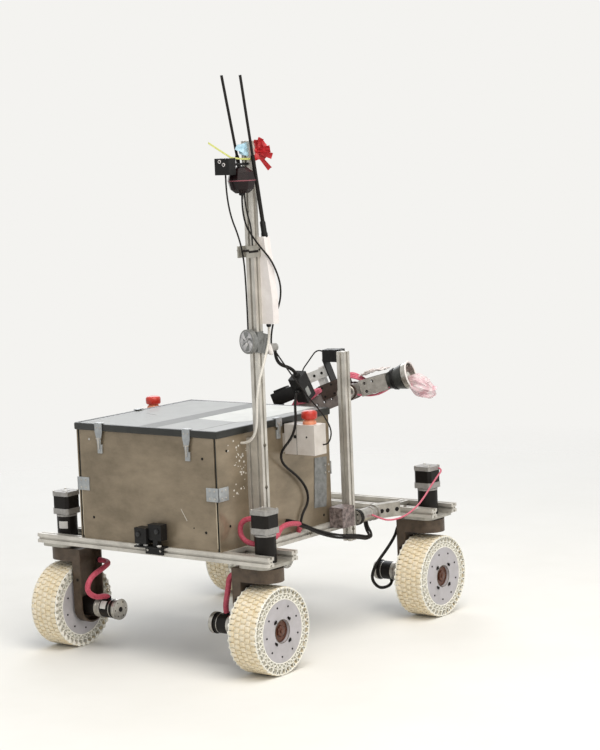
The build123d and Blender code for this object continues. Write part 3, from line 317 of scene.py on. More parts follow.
def join_rings(mesh, rows, closed=False):
    """Add the faces between rings of points, with caps unless the last ring meets the first."""
    following_rows = rows[1:] + rows[:1] if closed else rows[1:]
    for row, following in zip(rows, following_rows):
        for here in range(len(row)):
            nearby = (here + 1) % len(row)
            mesh.faces.new((row[here], row[nearby], following[nearby], following[here]))
    if not closed:
        mesh.faces.new(rows[0][::-1])
        mesh.faces.new(rows[-1])


def round_off(mesh, edges, edge_mm):
    """Round the given edges in two steps."""
    bmesh.ops.bevel(mesh, geom=list(edges), offset=edge_mm * MM, segments=2, profile=0.5,
                    affect="EDGES")


def block(mesh, frame_in, size_mm, edge_mm=0.5):
    """Add a box with softened edges, centred on its frame."""
    scale = Matrix.Diagonal((*[side * MM for side in size_mm], 1))
    made = bmesh.ops.create_cube(mesh, size=1, matrix=frame_in @ scale)
    if edge_mm:
        round_off(mesh, {edge for vert in made["verts"] for edge in vert.link_edges}, edge_mm)


def disc(mesh, frame_in, radius_mm, height_mm, sides=24, top_mm=None, edge_mm=0.0):
    """Add a round boss that stands on its frame's origin, tapered if its top's radius is given."""
    top_mm = radius_mm if top_mm is None else top_mm
    made = bmesh.ops.create_cone(mesh, cap_ends=True, segments=sides, radius1=radius_mm * MM,
                                 radius2=top_mm * MM, depth=height_mm * MM,
                                 matrix=frame_in @ shift(0, 0, height_mm / 2))
    if edge_mm:
        rims = {edge for vert in made["verts"] for edge in vert.link_edges
                if any(len(end.verts) > 4 for end in edge.link_faces)}
        round_off(mesh, rims, edge_mm)


def hoop(mesh, frame_in, radius_mm, section_mm, sides=32, round_sides=8):
    """Add a round ring about its frame's Z."""
    rows = []
    for angle in angles(sides):
        row = []
        for around in angles(round_sides):
            reach = radius_mm + section_mm * cos(around)
            spot = on_circle(reach, angle, section_mm * sin(around))
            row.append(mesh.verts.new(frame_in @ (spot * MM)))
        rows.append(row)
    join_rings(mesh, rows, closed=True)


def line(name, points, diameter_mm, finish):
    """A wire or cable on a smooth line through its control points, closed at both ends."""
    curve = bpy.data.curves.new(name, "CURVE")
    curve.dimensions = "3D"
    curve.bevel_depth = diameter_mm * MM / 2
    curve.bevel_resolution = 3
    curve.use_fill_caps = True
    curve.resolution_u = 6
    spline = curve.splines.new("NURBS")
    spline.points.add(len(points) - 1)
    for point, place in zip(spline.points, points):
        point.co = (*place, 1)
    spline.order_u = 3
    spline.use_endpoint_u = True
    curve.materials.append(finish)
    piece = bpy.data.objects.new(name, curve)
    bpy.context.scene.collection.objects.link(piece)
    return piece


def wire(name, points, diameter_mm, body, finish):
    """A wire or cable that rides on one body."""
    piece = line(name, points, diameter_mm, finish)
    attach(piece, body)
    return piece


def bending_wire(name, points, diameter_mm, finish):
    """A wire as a mesh that rides on no body, for a wire between two bodies."""
    drawn = line(name + "_line", points, diameter_mm, finish)
    mesh = bpy.data.meshes.new_from_object(drawn)
    bpy.data.objects.remove(drawn)
    mesh.name = name
    piece = bpy.data.objects.new(name, mesh)
    bpy.context.scene.collection.objects.link(piece)
    return piece


def plate(mesh, frame_in, outline, thick_mm, foot_mm=0.0):
    """Add a flat piece on its frame's XY, from the points of its outline in order."""
    rows = []
    for height in (foot_mm, foot_mm + thick_mm):
        rows.append([mesh.verts.new(frame_in @ (Vector((x, y, height)) * MM)) for x, y in outline])
    join_rings(mesh, rows)


def slab(mesh, frame_in, x0, x1, y0, y1, thick_mm):
    """Add a thin rectangle on its frame's XY."""
    plate(mesh, frame_in, ((x0, y0), (x1, y0), (x1, y1), (x0, y1)), thick_mm)


def turned(mesh, frame_in, profile, sides=32, first=0.0):
    """Add a shape turned about its frame's Z, from the radius and height of each of its rings."""
    rows = []
    for radius, height in profile:
        spots = [on_circle(radius, angle, height) for angle in angles(sides, first)]
        rows.append([mesh.verts.new(frame_in @ (spot * MM)) for spot in spots])
    join_rings(mesh, rows)


def tape(mesh, points, across, width_mm, thick_mm=0.5):
    """Add a flat tape through its points, its width along one direction."""
    side = Vector(across).normalized() * width_mm * MM / 2
    rows = []
    for index, place in enumerate(points):
        before = points[max(index - 1, 0)]
        after = points[min(index + 1, len(points) - 1)]
        rise = (after - before).cross(side).normalized() * thick_mm * MM / 2
        corners = (side + rise, -side + rise, -side - rise, side - rise)
        rows.append([mesh.verts.new(place + corner) for corner in corners])
    join_rings(mesh, rows)


def crumpled(mesh, corners, steps, wave_mm, fold_mm, thick_mm=0.6, seed=0.0):
    """Add a creased sheet between four corners in order, closed at its back."""
    a, b, c, d = corners
    normal = (b - a).cross(d - a).normalized()
    sheets = []
    for back in (0, 1):
        rows = []
        for i in range(steps + 1):
            u = i / steps
            row = []
            for j in range(steps + 1):
                v = j / steps
                spot = (a * (1 - u) + b * u) * (1 - v) + (d * (1 - u) + c * u) * v
                where = spot / (fold_mm * MM) + Vector((seed, 0, 0))
                lift = wave_mm * MM * (1 - abs(noise.noise(where)) * 2)
                row.append(mesh.verts.new(spot + normal * (lift - back * thick_mm * MM)))
            rows.append(row)
        sheets.append(rows)
    for i in range(steps):
        for j in range(steps):
            for rows, turn in ((sheets[0], 1), (sheets[1], -1)):
                loop = (rows[i][j], rows[i + 1][j], rows[i + 1][j + 1], rows[i][j + 1])
                mesh.faces.new(loop[::turn])
    front, rear = sheets
    rims = []
    for rows in (front, rear):
        rims.append([rows[i][0] for i in range(steps)] + [rows[steps][j] for j in range(steps)]
                    + [rows[i][steps] for i in range(steps, 0, -1)]
                    + [rows[0][j] for j in range(steps, 0, -1)])
    for here in range(4 * steps):
        following = (here + 1) % (4 * steps)
        mesh.faces.new((rims[0][here], rims[1][here], rims[1][following], rims[0][following]))


def soften(node, edge_mm):
    """Round the sharp edges of a CAD node, which only its look takes."""
    bevel = NODES[node].modifiers.new("edge", "BEVEL")
    bevel.width = edge_mm * MM
    bevel.segments = 2
    bevel.limit_method = "ANGLE"
    bevel.angle_limit = radians(50)
    bevel.harden_normals = False


REAR = (-1, 0, 0)
FRONT = (1, 0, 0)
RIGHT = (0, -1, 0)
LEFT = (0, 1, 0)
UP = (0, 0, 1)
SIDES = ((-1, RIGHT), (1, LEFT))


def face(x, y, z, direction):
    """A frame on a face of the drawing: Z out of the face, X to the right and Y up."""
    return aim(at(x, y, z), direction)


def link(start, x, y, z):
    """A place in a link's own frame, in millimetres."""
    return start @ (Vector((x, y, z)) * MM)


TURNTABLE = Matrix.Translation(at(165, 0, 0)) @ rotate(-76, "Z")
SHOULDER = TURNTABLE @ shift(0, 0, 573) @ rotate(-21, "Y")
ELBOW = SHOULDER @ shift(230, 0, 0) @ rotate(6, "Y")
ALONG_FOREARM = ELBOW @ rotate(90, "Y")


# Wheels

TYRE_R = 115.0
TYRE_HALF = 45.0
DISC_R = 82.0
DISC_FACE = 43.0         # from the wheel's middle to a disc's outer face
BAND_R = 111.5           # band that the tread's blocks stand on
BAND_THICK = 2.0
BAND_SIDE = 8.0          # from the tyre's side to the band
TREAD_ROWS = 48
TREAD_COLUMNS = 5
TREAD_HALF = TYRE_HALF - 2.5
TREAD_SLANT = 0.32       # turn from one column to the next, as a share of the rows' pitch
BLOCK_LENGTH = 11.8
BLOCK_GAP = 2.2
BLOCK_SINK = 1.2         # how much higher a block is than the tread
BLOCK_DROP = 0.7         # how far its middle lies under the tread's
BLOCK_EDGE = 1.6
CELLS = 36               # lattice cells round the tyre's side
# Inner radius, outer radius, start, leans and thickness of the webs of each row
LATTICE_ROWS = ((84.0, 96.0, 0.0, (-0.5, 0.5), 2.2), (96.0, 111.0, 0.5, (0,), 3.6))
WEB_HALF = TYRE_HALF - 1.5
WEB_SINK = 1.5           # how much longer a web is than the way between its ends
MIDDLE_RING = (96.2, 98.0)
SIDE_RING = (110.4, 112.8)
SIDE_RING_HALF = 1.5
SCALLOP_R = 109.4        # middles of the small rounds along the tyre's edge
SCALLOP_ROUND = 5.4
SHADE_WALL_SIDE = 16.0         # from the tyre's side to the dark wall of painted shade behind the webs


def wheel_frame(corner):
    """The wheel's middle, with Y pointing outboard."""
    place = Vector(JOINTS["spin_" + corner]["pos_m"])
    outboard = 1 if "left" in corner else -1
    return Matrix.Translation(place) @ Matrix.Diagonal((outboard, outboard, 1, 1))


def on_wheel(radius, angle, y):
    """A place round a wheel's axle, in millimetres, with its angle counted from the top."""
    return Vector((radius * sin(angle), y, radius * cos(angle)))


def ring_wall(mesh, centre, inner_mm, outer_mm, half_mm, sides):
    """Add a round band about the frame's Y, closed at both sides."""
    section = ((inner_mm, -half_mm), (outer_mm, -half_mm), (outer_mm, half_mm), (inner_mm, half_mm))
    rows = []
    for angle in angles(sides):
        spots = [on_wheel(radius, angle, y) for radius, y in section]
        rows.append([mesh.verts.new(centre @ (spot * MM)) for spot in spots])
    join_rings(mesh, rows, closed=True)


def strut(mesh, centre, start, end, thick_mm):
    """Add one web of the lattice, between two places given as radius and angle."""
    low = on_wheel(*start, 0)
    high = on_wheel(*end, 0)
    along = high - low
    turn = Matrix.Rotation(atan2(along.x, along.z), 4, "Y")
    block(mesh, centre @ shift(*(low + high) / 2) @ turn,
          (thick_mm, 2 * WEB_HALF, along.length + WEB_SINK), 0)


def tread(centre):
    """Rows of slanted blocks, and the band that they stand on."""
    mesh = bmesh.new()
    ring_wall(mesh, centre, BAND_R - BAND_THICK, BAND_R, TYRE_HALF - BAND_SIDE, 2 * TREAD_ROWS)
    pitch = 2 * TREAD_HALF / TREAD_COLUMNS
    size = (BLOCK_LENGTH, pitch - BLOCK_GAP, TYRE_R - BAND_R + BLOCK_SINK)
    height = (BAND_R + TYRE_R) / 2 - BLOCK_DROP
    for row in range(TREAD_ROWS):
        for column in range(TREAD_COLUMNS):
            slant = TREAD_SLANT * (column - (TREAD_COLUMNS - 1) / 2)
            turn = Matrix.Rotation(tau * (row + slant) / TREAD_ROWS, 4, "Y")
            y = (column + 0.5) * pitch - TREAD_HALF
            block(mesh, centre @ turn @ shift(0, y, height), size, BLOCK_EDGE)
    return mesh


def lattice(centre):
    """Inner rim, two rows of webs with a ring between them, and a scalloped ring on each side."""
    mesh = bmesh.new()
    ring_wall(mesh, centre, DISC_R, DISC_R + 2.5, TYRE_HALF - 1, 2 * CELLS)
    ring_wall(mesh, centre, *MIDDLE_RING, TYRE_HALF - 2, 2 * CELLS)
    step = tau / CELLS
    for inner, outer, offset, leans, thick in LATTICE_ROWS:
        for cell in range(CELLS):
            middle = (cell + offset) * step
            for lean in leans:
                strut(mesh, centre, (inner, middle), (outer, middle + lean * step), thick)
    for y in (-WEB_HALF, WEB_HALF):
        ring_wall(mesh, centre @ shift(0, y, 0), *SIDE_RING, SIDE_RING_HALF, 2 * CELLS)
        for angle in angles(CELLS, step / 2):
            place = centre @ shift(*on_wheel(SCALLOP_R, angle, y)) @ rotate(90, "X")
            disc(mesh, place, SCALLOP_ROUND, 2 * SIDE_RING_HALF, 14)
    return mesh


def tyre(corner):
    """Tread, dark wall of painted shade behind the webs, and lattice of one tyre, in place of its
    solid.
    """
    centre = wheel_frame(corner)
    # A near-black wall between the webs: painted shade, so that the lattice's holes look dark
    shade_wall = bmesh.new()
    ring_wall(shade_wall, centre, DISC_R + 1, BAND_R - 2.5, TYRE_HALF - SHADE_WALL_SIDE, CELLS)
    for name, mesh, finish, round_angle in (("tread_", tread(centre), ivory_print, 35),
                                            ("lattice_core_", shade_wall, lattice_core, 35),
                                            ("lattice_", lattice(centre), lattice_print, 30)):
        piece = show(name + corner, mesh, "wheel_" + corner, finish, round_angle)
        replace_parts(piece, "tyre_" + corner)


RIM_BOLTS = 9
RIM_BOLT_R = 66.0
RIM_BOLT_TURN = 0.27     # angle of the first bolt from the top
HUB_BOLT_R = 40.0
CAP_R = 29.5
MOTOR_END = 180.2        # from the wheel's middle to the drive motor's end


def wheel_bolts(corner):
    """Small bolts round both discs, and four long bolts near the outer one's middle."""
    centre = wheel_frame(corner)
    bolts = bmesh.new()
    for side in (-1, 1):
        for angle in angles(RIM_BOLTS, RIM_BOLT_TURN):
            place = centre @ shift(*on_wheel(RIM_BOLT_R, angle, side * DISC_FACE))
            disc(bolts, place @ rotate(-90 * side, "X"), 2.6, 1.6, 12, edge_mm=0.4)
    for angle in angles(4, tau / 8):
        place = centre @ shift(*on_wheel(HUB_BOLT_R, angle, DISC_FACE)) @ rotate(-90, "X")
        block(bolts, place @ Matrix.Rotation(-angle, 4, "Z") @ shift(0, 0, 1.5), (5, 12, 3), 0.8)
        disc(bolts, place, 3.6, 4.5, 14, edge_mm=0.6)
    show("wheel_bolts_" + corner, bolts, "wheel_" + corner, motor_black)


def hub_centre(corner):
    """Brown bowl in the middle of the wheel, with its nut and its steel lip."""
    centre = wheel_frame(corner)
    hub = bmesh.new()
    hub_floor = centre @ shift(0, 35.1, 0) @ rotate(-90, "X")
    disc(hub, hub_floor, CAP_R - 0.6, 1.2, 40)
    disc(hub, hub_floor, 17, 5.5, 6, top_mm=15, edge_mm=0.8)
    disc(hub, hub_floor, 6, 7.6, 18, edge_mm=0.8)
    show("hub_centre_" + corner, hub, "wheel_" + corner, hub_brown)
    lip = bmesh.new()
    hoop(lip, centre @ shift(0, DISC_FACE + 0.2, 0) @ rotate(90, "X"), CAP_R + 0.8, 0.9, 48)
    show("hub_lip_" + corner, lip, "wheel_" + corner, dusty_steel)


def drive_motor_fittings(corner):
    """Bright rings, the blank label and the screws of a drive motor."""
    inboard = wheel_frame(corner) @ rotate(90, "X")          # Z runs from the wheel to the motor
    body = "steer_" + corner
    silver = bmesh.new()
    turned(silver, inboard @ shift(0, 0, 104),
           ((26.4, 0), (27.6, 0.8), (27.6, 6), (26.6, 6.8), (26.6, 8), (27.6, 8.8), (27.6, 19.2),
            (26.4, 20)), 48)
    disc(silver, inboard @ shift(0, 0, 155.5), 26.4, 2.0, 48)
    disc(silver, inboard @ shift(0, 0, 168.5), 28.8, 11.8, 48, edge_mm=1.2)
    show("motor_rings_" + corner, silver, body, turned_silver)
    screws = bmesh.new()
    for angle in angles(6):
        disc(screws, inboard @ shift(*on_circle(21, angle, MOTOR_END)), 2.0, 0.5, 10)
    disc(screws, inboard @ shift(0, 0, MOTOR_END), 7, 1.5, 20, edge_mm=0.5)
    show("motor_screws_" + corner, screws, body, motor_black)
    label = bmesh.new()
    curved_label(label, inboard @ shift(0, 0, 137), 26.25, 20, 50, 150)
    show("motor_label_" + corner, label, body, label_white)


def curved_label(mesh, frame_in, radius_mm, height_mm, span, middle, steps=10):
    """Add a thin label wrapped on a cylinder about the frame's Z, over a span in degrees."""
    rows = []
    for step in range(steps + 1):
        angle = radians(middle + span * (step / steps - 0.5))
        row = []
        for height in (-height_mm / 2, height_mm / 2):
            row.append(mesh.verts.new(frame_in @ (on_circle(radius_mm, angle, height) * MM)))
        rows.append(row)
    for row, following in zip(rows, rows[1:]):
        mesh.faces.new((row[0], following[0], following[1], row[1]))


# Cables and sleeves

# Name, diameter, finish and route of each cable that the chassis holds all the way
CABLES = (
    ("camera_cable", 4.4, jacket_black, (
        (-391.7, -280.1, 1282.7), (-393.7, -280.1, 1204), (-335, -280.1, 1100),
        (-327, -280.1, 984), (-325, -278.1, 884.3))),
    ("beacon_cable", 4.8, jacket_black, (
        (-345.9, -294.1, 1234.7), (-351.9, -294.1, 1167), (-303, -304.1, 1102),
        (-268.3, -326.1, 1054), (-234.3, -328.1, 970), (-233, -280.1, 879),
        (-233, -280.1, 838.3))),
    ("radio_cable", 7, jacket_white, (
        (-268.3, -302.1, 894.7), (-268.3, -304.1, 859), (-301, -308.1, 800),
        (-335, -305.1, 727), (-329, -295.1, 588), (-329, -242.3, 588))),
    ("hanging_box_feed", 9, jacket_black, (
        (-221.3, -283.1, 817.7), (-221.3, -283.1, 784), (-167.9, -300.1, 766.6),
        (-155.3, -300.1, 746.5))),
    ("side_cable", 7, jacket_black, (
        (-152.2, -300.1, 703.2), (-170.6, -300.1, 691.7), (-164, -300.1, 596),
        (-204, -253, 529), (-80, -252, 451), (-56, -252, 393), (-97, -248, 353),
        (-97, -248, 317.3))),
    ("stop_lead", 4, jacket_black, (
        (-228.3, -288.1, 819), (-210.3, -345, 728), (-90, -362, 610), (-118, -372, 560),
        (-118, -350.3, 560))),
    ("sampler_loom_a", 6, jacket_black, (
        (-150, -242.3, 355), (-150, -272, 356), (-20, -282, 293), (96, -296, 276),
        (142, -297, 262), (178, -288, 264), (174, -275, 284), (172, -275, 298.7))),
    ("sampler_loom_b", 6, jacket_black, (
        (-147, -242.3, 350), (-146, -268, 349), (-22, -289, 297), (94, -303, 271),
        (140, -302, 257), (174, -292, 260), (170, -278, 282), (168, -278, 298.7))),
    ("sampler_loom_c", 7, jacket_black, (
        (-153, -242.3, 350), (-153, -275, 349), (-18, -286, 286), (96, -300, 268),
        (140, -296, 255), (172, -284, 258), (168, -272, 280), (166, -272, 298.7))),
    ("gearbox_loop", 14, sleeve_pink, (
        (-346.7, -338, 342), (-312, -334, 344), (-264, -308, 357), (-212, -290, 357),
        (-160, -276, 350), (-110, -262, 338), (-110, -250.5, 317.3))),
    ("beacon_strand", 4, jacket_black, (
        (-340, -297, 1236), (-337, -297, 1190), (-318, -298, 1150), (-317, -298, 1099.5))),
    ("stepper_lead", 5, wire_pink, (
        (393, -373.5, 421), (390, -388, 418), (362, -388, 403), (325, -388, 378),
        (296, -386, 354), (266, -378, 329), (232, -358, 306), (196, -332, 300),
        (174, -312, 312), (171.7, -294.3, 318))),
    ("gearbox_sleeve", 14, sleeve_pink, (
        (-375, -316.5, 402), (-375, -264, 402), (-375, -264, 335), (-375, -316.7, 335))),
)
# Sleeve of a front motor: diameter, finish, then x from the axle, distance inboard and height
FRONT_SLEEVE = (9, jacket_black, (
    (0, 134, 88.7), (0, 134, 71), (-72, 134, 74), (-112, 134, 128), (-20, 104, 215),
    (-8, 100, 258), (-8, 80.3, 258)))
# The same for every corner; the rear ones are wide and pink, and differ from each other
SLEEVES = {
    "rear_left": (15, sleeve_pink, (
        (0, 138, 141.3), (-4, 138, 151), (-50, 138, 152), (-88, 138, 180), (-66, 138, 214),
        (-14, 138, 228), (30, 126, 238), (29, 80.3, 238))),
    "rear_right": (15, sleeve_pink, (
        (0, 138, 141.3), (-3, 138, 152), (-14, 128, 176), (-30, 106, 215), (-28, 100, 257),
        (-26, 80.3, 257))),
    "front_left": FRONT_SLEEVE,
    "front_right": FRONT_SLEEVE,
}


def cables():
    """Every cable that the rover holds all the way, on its own route."""
    for name, diameter, finish, route in CABLES:
        piece = wire(name, [at(*point) for point in route], diameter, "chassis", finish)
        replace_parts(piece, "cables")


def motor_sleeve(corner):
    """Sleeve of a drive motor's leads, with a collar at each end."""
    front = 1 if "front" in corner else -1
    left = 1 if "left" in corner else -1
    diameter, finish, route = SLEEVES[corner]
    points = []
    for offset, inboard, z in route:
        points.append(at(front * HALF_BASE + offset, left * (HALF_TRACK - inboard), z))
    piece = wire("sleeve_" + corner, points, diameter, "steer_" + corner, finish)
    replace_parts(piece, "motor_sleeve_" + corner)
    collars = bmesh.new()
    for place, ahead in ((points[0], points[1]), (points[-1], points[-2])):
        disc(collars, aim(place, ahead - place), diameter / 2 + 1.2, 5, 20, edge_mm=0.8)
    show("sleeve_collars_" + corner, collars, "steer_" + corner, black_abs)


# Lid and box

LID_Z = 630.0
TRIM_FOOT = 612.0        # lower edge of the lid's trim
TRIM_WIDTH = 10.0
TRIM_OVER = 9.0          # how much longer a trim is than the box's side
TRIM_ROUND = 3.6
BOX_REAR = -430.0
BOX_FRONT = 55.0
BOX_HALF = 242.0
ANGLE_THICK = 3.0        # angles round the box's corners
ANGLE_Z = 466.0


def lid_tapes():
    """Bands of adhesive tape along the lid, which end in patches towards the front, the right one
    paler with a painted reflection of the sky.
    """
    top = face(0, 0, LID_Z, UP)
    bands = (
        ("lid_tape_left", white_tape, ((-428, 29), (-238, 29), (-232, 125), (-428, 126))),
        ("lid_tape_middle", silver_tape, ((-428, -34), (52, -34), (52, 29), (-428, 29))),
        ("lid_tape_right", white_tape, ((-428, -174), (-262, -176), (-248, -34), (-428, -34))),
        ("lid_patch_left", white_tape, ((-238, 29), (52, 29), (52, 182), (-215, 178),
                                         (-232, 125))),
        # Patch of the whiter tape, with a painted reflection of the sky
        ("lid_patch_right", tape_sky_reflection, ((-262, -176), (-240, -196), (52, -200), (52, -34),
                                          (-248, -34))),
    )
    for name, finish, outline in bands:
        mesh = bmesh.new()
        plate(mesh, top, outline, 0.35)
        show(name, mesh, "lid", finish)


def lid_trim():
    """Rounded rubber trim on the lid's four edges."""
    mesh = bmesh.new()
    middle = (BOX_REAR + BOX_FRONT) / 2
    length = BOX_FRONT - BOX_REAR + TRIM_OVER
    height = LID_Z + 1.5 - TRIM_FOOT
    z = TRIM_FOOT + height / 2
    for y in (-BOX_HALF, BOX_HALF):
        block(mesh, face(middle, y, z, UP), (length, TRIM_WIDTH, height), TRIM_ROUND)
    for x in (BOX_REAR, BOX_FRONT):
        block(mesh, face(x, 0, z, UP), (TRIM_WIDTH, 2 * BOX_HALF + TRIM_OVER, height), TRIM_ROUND)
    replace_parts(show("lid_trim_round", mesh, "lid", edge_rubber), "lid_trim")


def screw(mesh, x, y, z, direction, radius_mm, height_mm=1.4):
    """Add a round screw head that stands on a face."""
    place = face(x, y, z, direction)
    turned(mesh, place, ((radius_mm, 0), (radius_mm, 0.5 * height_mm),
                         (0.8 * radius_mm, 0.9 * height_mm), (0.35 * radius_mm, height_mm)), 14)


def box_screws():
    """Black screws of the panels and bright rivets of the corner angles."""
    dark = bmesh.new()
    for y, z in ((-193, 558), (194, 376), (-195, 365)):
        screw(dark, BOX_REAR, y, z, REAR, 3.6)
        screw(dark, BOX_FRONT, y, z, FRONT, 3.6)
    for x, z in ((-391, 576), (-388, 379), (20, 576), (18, 340)):
        screw(dark, x, -BOX_HALF, z, RIGHT, 3.6)
        screw(dark, x, BOX_HALF, z, LEFT, 3.6)
    screw(dark, BOX_REAR, -155, 374, REAR, 2.0, 0.6)
    show("panel_screws", dark, "chassis", motor_black)
    bright = bmesh.new()
    screw(bright, BOX_REAR, 197, 588, REAR, 3.4)
    rear = BOX_REAR - ANGLE_THICK
    front = BOX_FRONT + ANGLE_THICK
    outer = BOX_HALF + ANGLE_THICK
    for sy, side in SIDES:
        for offset in (14, 30):
            for z in (456, 476):
                screw(bright, rear, sy * (outer - offset), z, REAR, 2.8)
                screw(bright, front, sy * (outer - offset), z, FRONT, 2.8)
                screw(bright, rear + offset, sy * outer, z, side, 2.8)
                screw(bright, front - offset, sy * outer, z, side, 2.8)
    show("bracket_rivets", bright, "chassis", turned_silver)


# Middles of the groups of specks on the right panel: x and height
SPECKS = ((-372, 588), (-352, 572), (-336, 556), (-344, 530), (-316, 515), (-328, 498),
          (-320, 480), (-352, 468), (-300, 574), (-334, 541))


def brackets():
    """Gussets of the frame, and the angles round the box's corners."""
    mesh = bmesh.new()
    for sx in (-1, 1):
        for sy in (-1, 1):
            corner_place = face(sx * 312.3, sy * 227.3, 295.3, UP)
            plate(mesh, corner_place, [(0, 0), (-sx * 34, 0), (0, -sy * 34)], 18)
    size = (42, 36, ANGLE_THICK)
    for x, sx, direction in ((BOX_REAR, -1, REAR), (BOX_FRONT, 1, FRONT)):
        for sy, side in SIDES:
            block(mesh, face(x + sx * ANGLE_THICK / 2, sy * 224, ANGLE_Z, direction), size, 1.0)
            if (sx, sy) != (1, -1):
                place = face(x - sx * 18, sy * (BOX_HALF + ANGLE_THICK / 2), ANGLE_Z, side)
                block(mesh, place, size, 1.0)
    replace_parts(show("bracket_plates", mesh, "chassis", zinc_plate), "brackets")


def panel_wear():
    """Bright specks and a scratch on the sheet, and the pale cut edge at the rear corners."""
    draw = random.Random(4)
    specks = bmesh.new()
    for x, z in SPECKS:
        for _ in range(5):
            place = face(x + draw.uniform(-18, 14), -BOX_HALF - 0.02, z + draw.uniform(-16, 16),
                         RIGHT)
            disc(specks, place, draw.uniform(1.2, 3.2), 0.12, 8)
    rear = face(BOX_REAR, 0, 0, REAR)
    plate(specks, rear, ((113, 421), (114.2, 421.6), (133.4, 391.4), (132.4, 390.6)), 0.12)
    show("panel_specks", specks, "chassis", jacket_white)
    edges = bmesh.new()
    for sy in (-1, 1):
        block(edges, face(BOX_REAR + 0.6, sy * 232.3, 400, UP), (1.8, 1.8, 150), 0.4)
    show("panel_edges", edges, "chassis", cream_edge)


def tape_patch():
    """Creased duct tape over the side panel's front edge."""
    mesh = bmesh.new()
    corners = [at(x, -BOX_HALF - 1.0, z)
               for x, z in ((-25, 366), (30, 362), (39, 499), (-16, 502))]
    crumpled(mesh, corners, 18, 1.0, 16, 0.8, 3.1)
    show("tape_patch", mesh, "chassis", duct_tape, 60)


LATCH_TOP = LID_Z + 4.0
LATCH_HALF = 12.5


def latch(name, x, y, direction, length_mm):
    """Tapered plate that is hooked over the lid's edge, with its lever, pin and keeper."""
    place = face(x, y, 0, direction)
    foot = LATCH_TOP - length_mm
    shoulder = LATCH_TOP - 24
    strap = bmesh.new()
    outline = ((-3.5, foot), (3.5, foot), (6, foot + 26), (LATCH_HALF, shoulder),
               (LATCH_HALF, LATCH_TOP), (-LATCH_HALF, LATCH_TOP), (-LATCH_HALF, shoulder),
               (-6, foot + 26))
    plate(strap, place, outline, 1.8, 5.6)
    block(strap, place @ shift(0, LATCH_TOP - 0.5, 0.5), (2 * LATCH_HALF, 1.8, 14), 0.3)
    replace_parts(show(name + "_strap", strap, "lid", zinc_plate), "latch_hooks")
    lever = bmesh.new()
    block(lever, place @ shift(0, foot + 20, 8.5), (5, 30, 2.0), 0.8)
    pin = place @ shift(-8, foot + 34, 7.5)
    disc(lever, pin @ rotate(90, "Y"), 2.2, 16, 14, edge_mm=0.5)
    for px in (-7, 7):
        disc(lever, place @ shift(px, LATCH_TOP - 12, 7.3), 2.4, 1.2, 12, edge_mm=0.4)
    show(name + "_lever", lever, "lid", turned_silver)
    keeper = bmesh.new()
    block(keeper, place @ shift(0, foot + 6, 2.6), (15, 24, 5), 0.8)
    show(name + "_keeper", keeper, "chassis", zinc_plate)


def latches():
    """Two latches on the rear face and one on each side."""
    latch("latch_rear_left", BOX_REAR, 157, REAR, 76)
    latch("latch_rear_right", BOX_REAR, -147, REAR, 78)
    latch("latch_right", -174, -BOX_HALF, RIGHT, 50)
    latch("latch_left", -174, BOX_HALF, LEFT, 50)


STOP_TOP = 615.0
STOPS = ((-130, -301, -317, -292), (-43, 301, 301, 292))    # x, box's y, button's y, seam's y


def stop_fittings():
    """Mushroom heads on their collars, and the seam and screw of each box."""
    heads = bmesh.new()
    collars = bmesh.new()
    seams = bmesh.new()
    for x, y, button_y, seam_y in STOPS:
        base = face(x, button_y, STOP_TOP, UP)
        turned(heads, base, ((13, 13), (19, 14), (21, 17), (21.3, 28), (20.4, 32), (17, 34.8),
                             (10, 36.2), (3, 36.6)), 40)
        turned(collars, base, ((18, 0), (18.5, 3), (17.5, 7), (13.5, 12), (12, 14)), 40)
        block(seams, face(x, seam_y, STOP_TOP - 40, UP), (52.6, 1.0, 80.6), 0)
        screw(seams, x - 26, y - 24, 583, REAR, 2.6)
        screw(seams, x - 26, seam_y + 4, 583, REAR, 4.4, 4)
    caps = show("stop_heads", heads, "chassis", stop_red, 50)
    rings = show("stop_collars", collars, "chassis", stop_collar, 50)
    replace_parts(caps, "stop_buttons")
    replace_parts(rings, "stop_buttons")
    show("stop_seams", seams, "chassis", black_abs)


# Mast

MAST = (-295.0, -280.1)
TO_RIGHT = Vector((0.6, -0.8, 0))        # to the right as the camera sees it
AWAY = Vector((0.8, 0.6, 0))             # away from the camera


def mast_wraps():
    """Tape and a long tie round the mast, and the knob and plug beside its lamp."""
    x, y = MAST
    grey = bmesh.new()
    block(grey, face(x, y, 850, UP), (27.4, 27.4, 54), 0.8)
    crumpled(grey, [at(-309, -294.6, 822), at(-268, -294.6, 818), at(-262, -294.6, 866),
                    at(-309, -294.6, 878)], 12, 1.8, 13, 0.8, 2.2)
    show("mast_tape", grey, "chassis", duct_tape, 60)
    tail = bmesh.new()
    block(tail, face(x, y, 1320, UP), (27.8, 27.8, 5), 0.6)
    tape(tail, [at(-308, -292, 1320), at(-350, -298, 1322), at(-391, -300, 1326),
                at(-436, -300, 1346), at(-479, -300, 1366)], (0.25, 0, 1), 4.5, 1.2)
    show("camera_tie", tail, "chassis", tie_green)
    knob = bmesh.new()
    turned(knob, aim(at(-262, -288, 843), (0.25, -0.3, -1)),
           ((5, 0), (8, 3), (8.6, 14), (7, 26), (5, 32), (2, 34)), 24)
    show("mast_knob", knob, "chassis", white_print, 50)
    plug = bmesh.new()
    turned(plug, face(-282.3, y, 828, FRONT),
           ((15.4, 0), (15.4, 30), (14, 33.6), (10.6, 34.4), (10.6, 40), (11.4, 41), (11.4, 56),
            (10.6, 57), (10.4, 66.4)), 32)
    show("mast_plug", plug, "chassis", cast_bell)


def petal(mesh, root, direction, length_mm, width_mm, seed):
    """Add one creased end of ribbon that leaves its knot along a direction."""
    along = Vector(direction).normalized()
    side = along.cross(AWAY).normalized()
    near = side * width_mm * 0.28 * MM
    far = side * width_mm * 0.5 * MM
    tip = root + along * length_mm * MM
    crumpled(mesh, [root - near, tip - far, tip + far, root + near], 8, 3.0, 9, 0.6, seed)


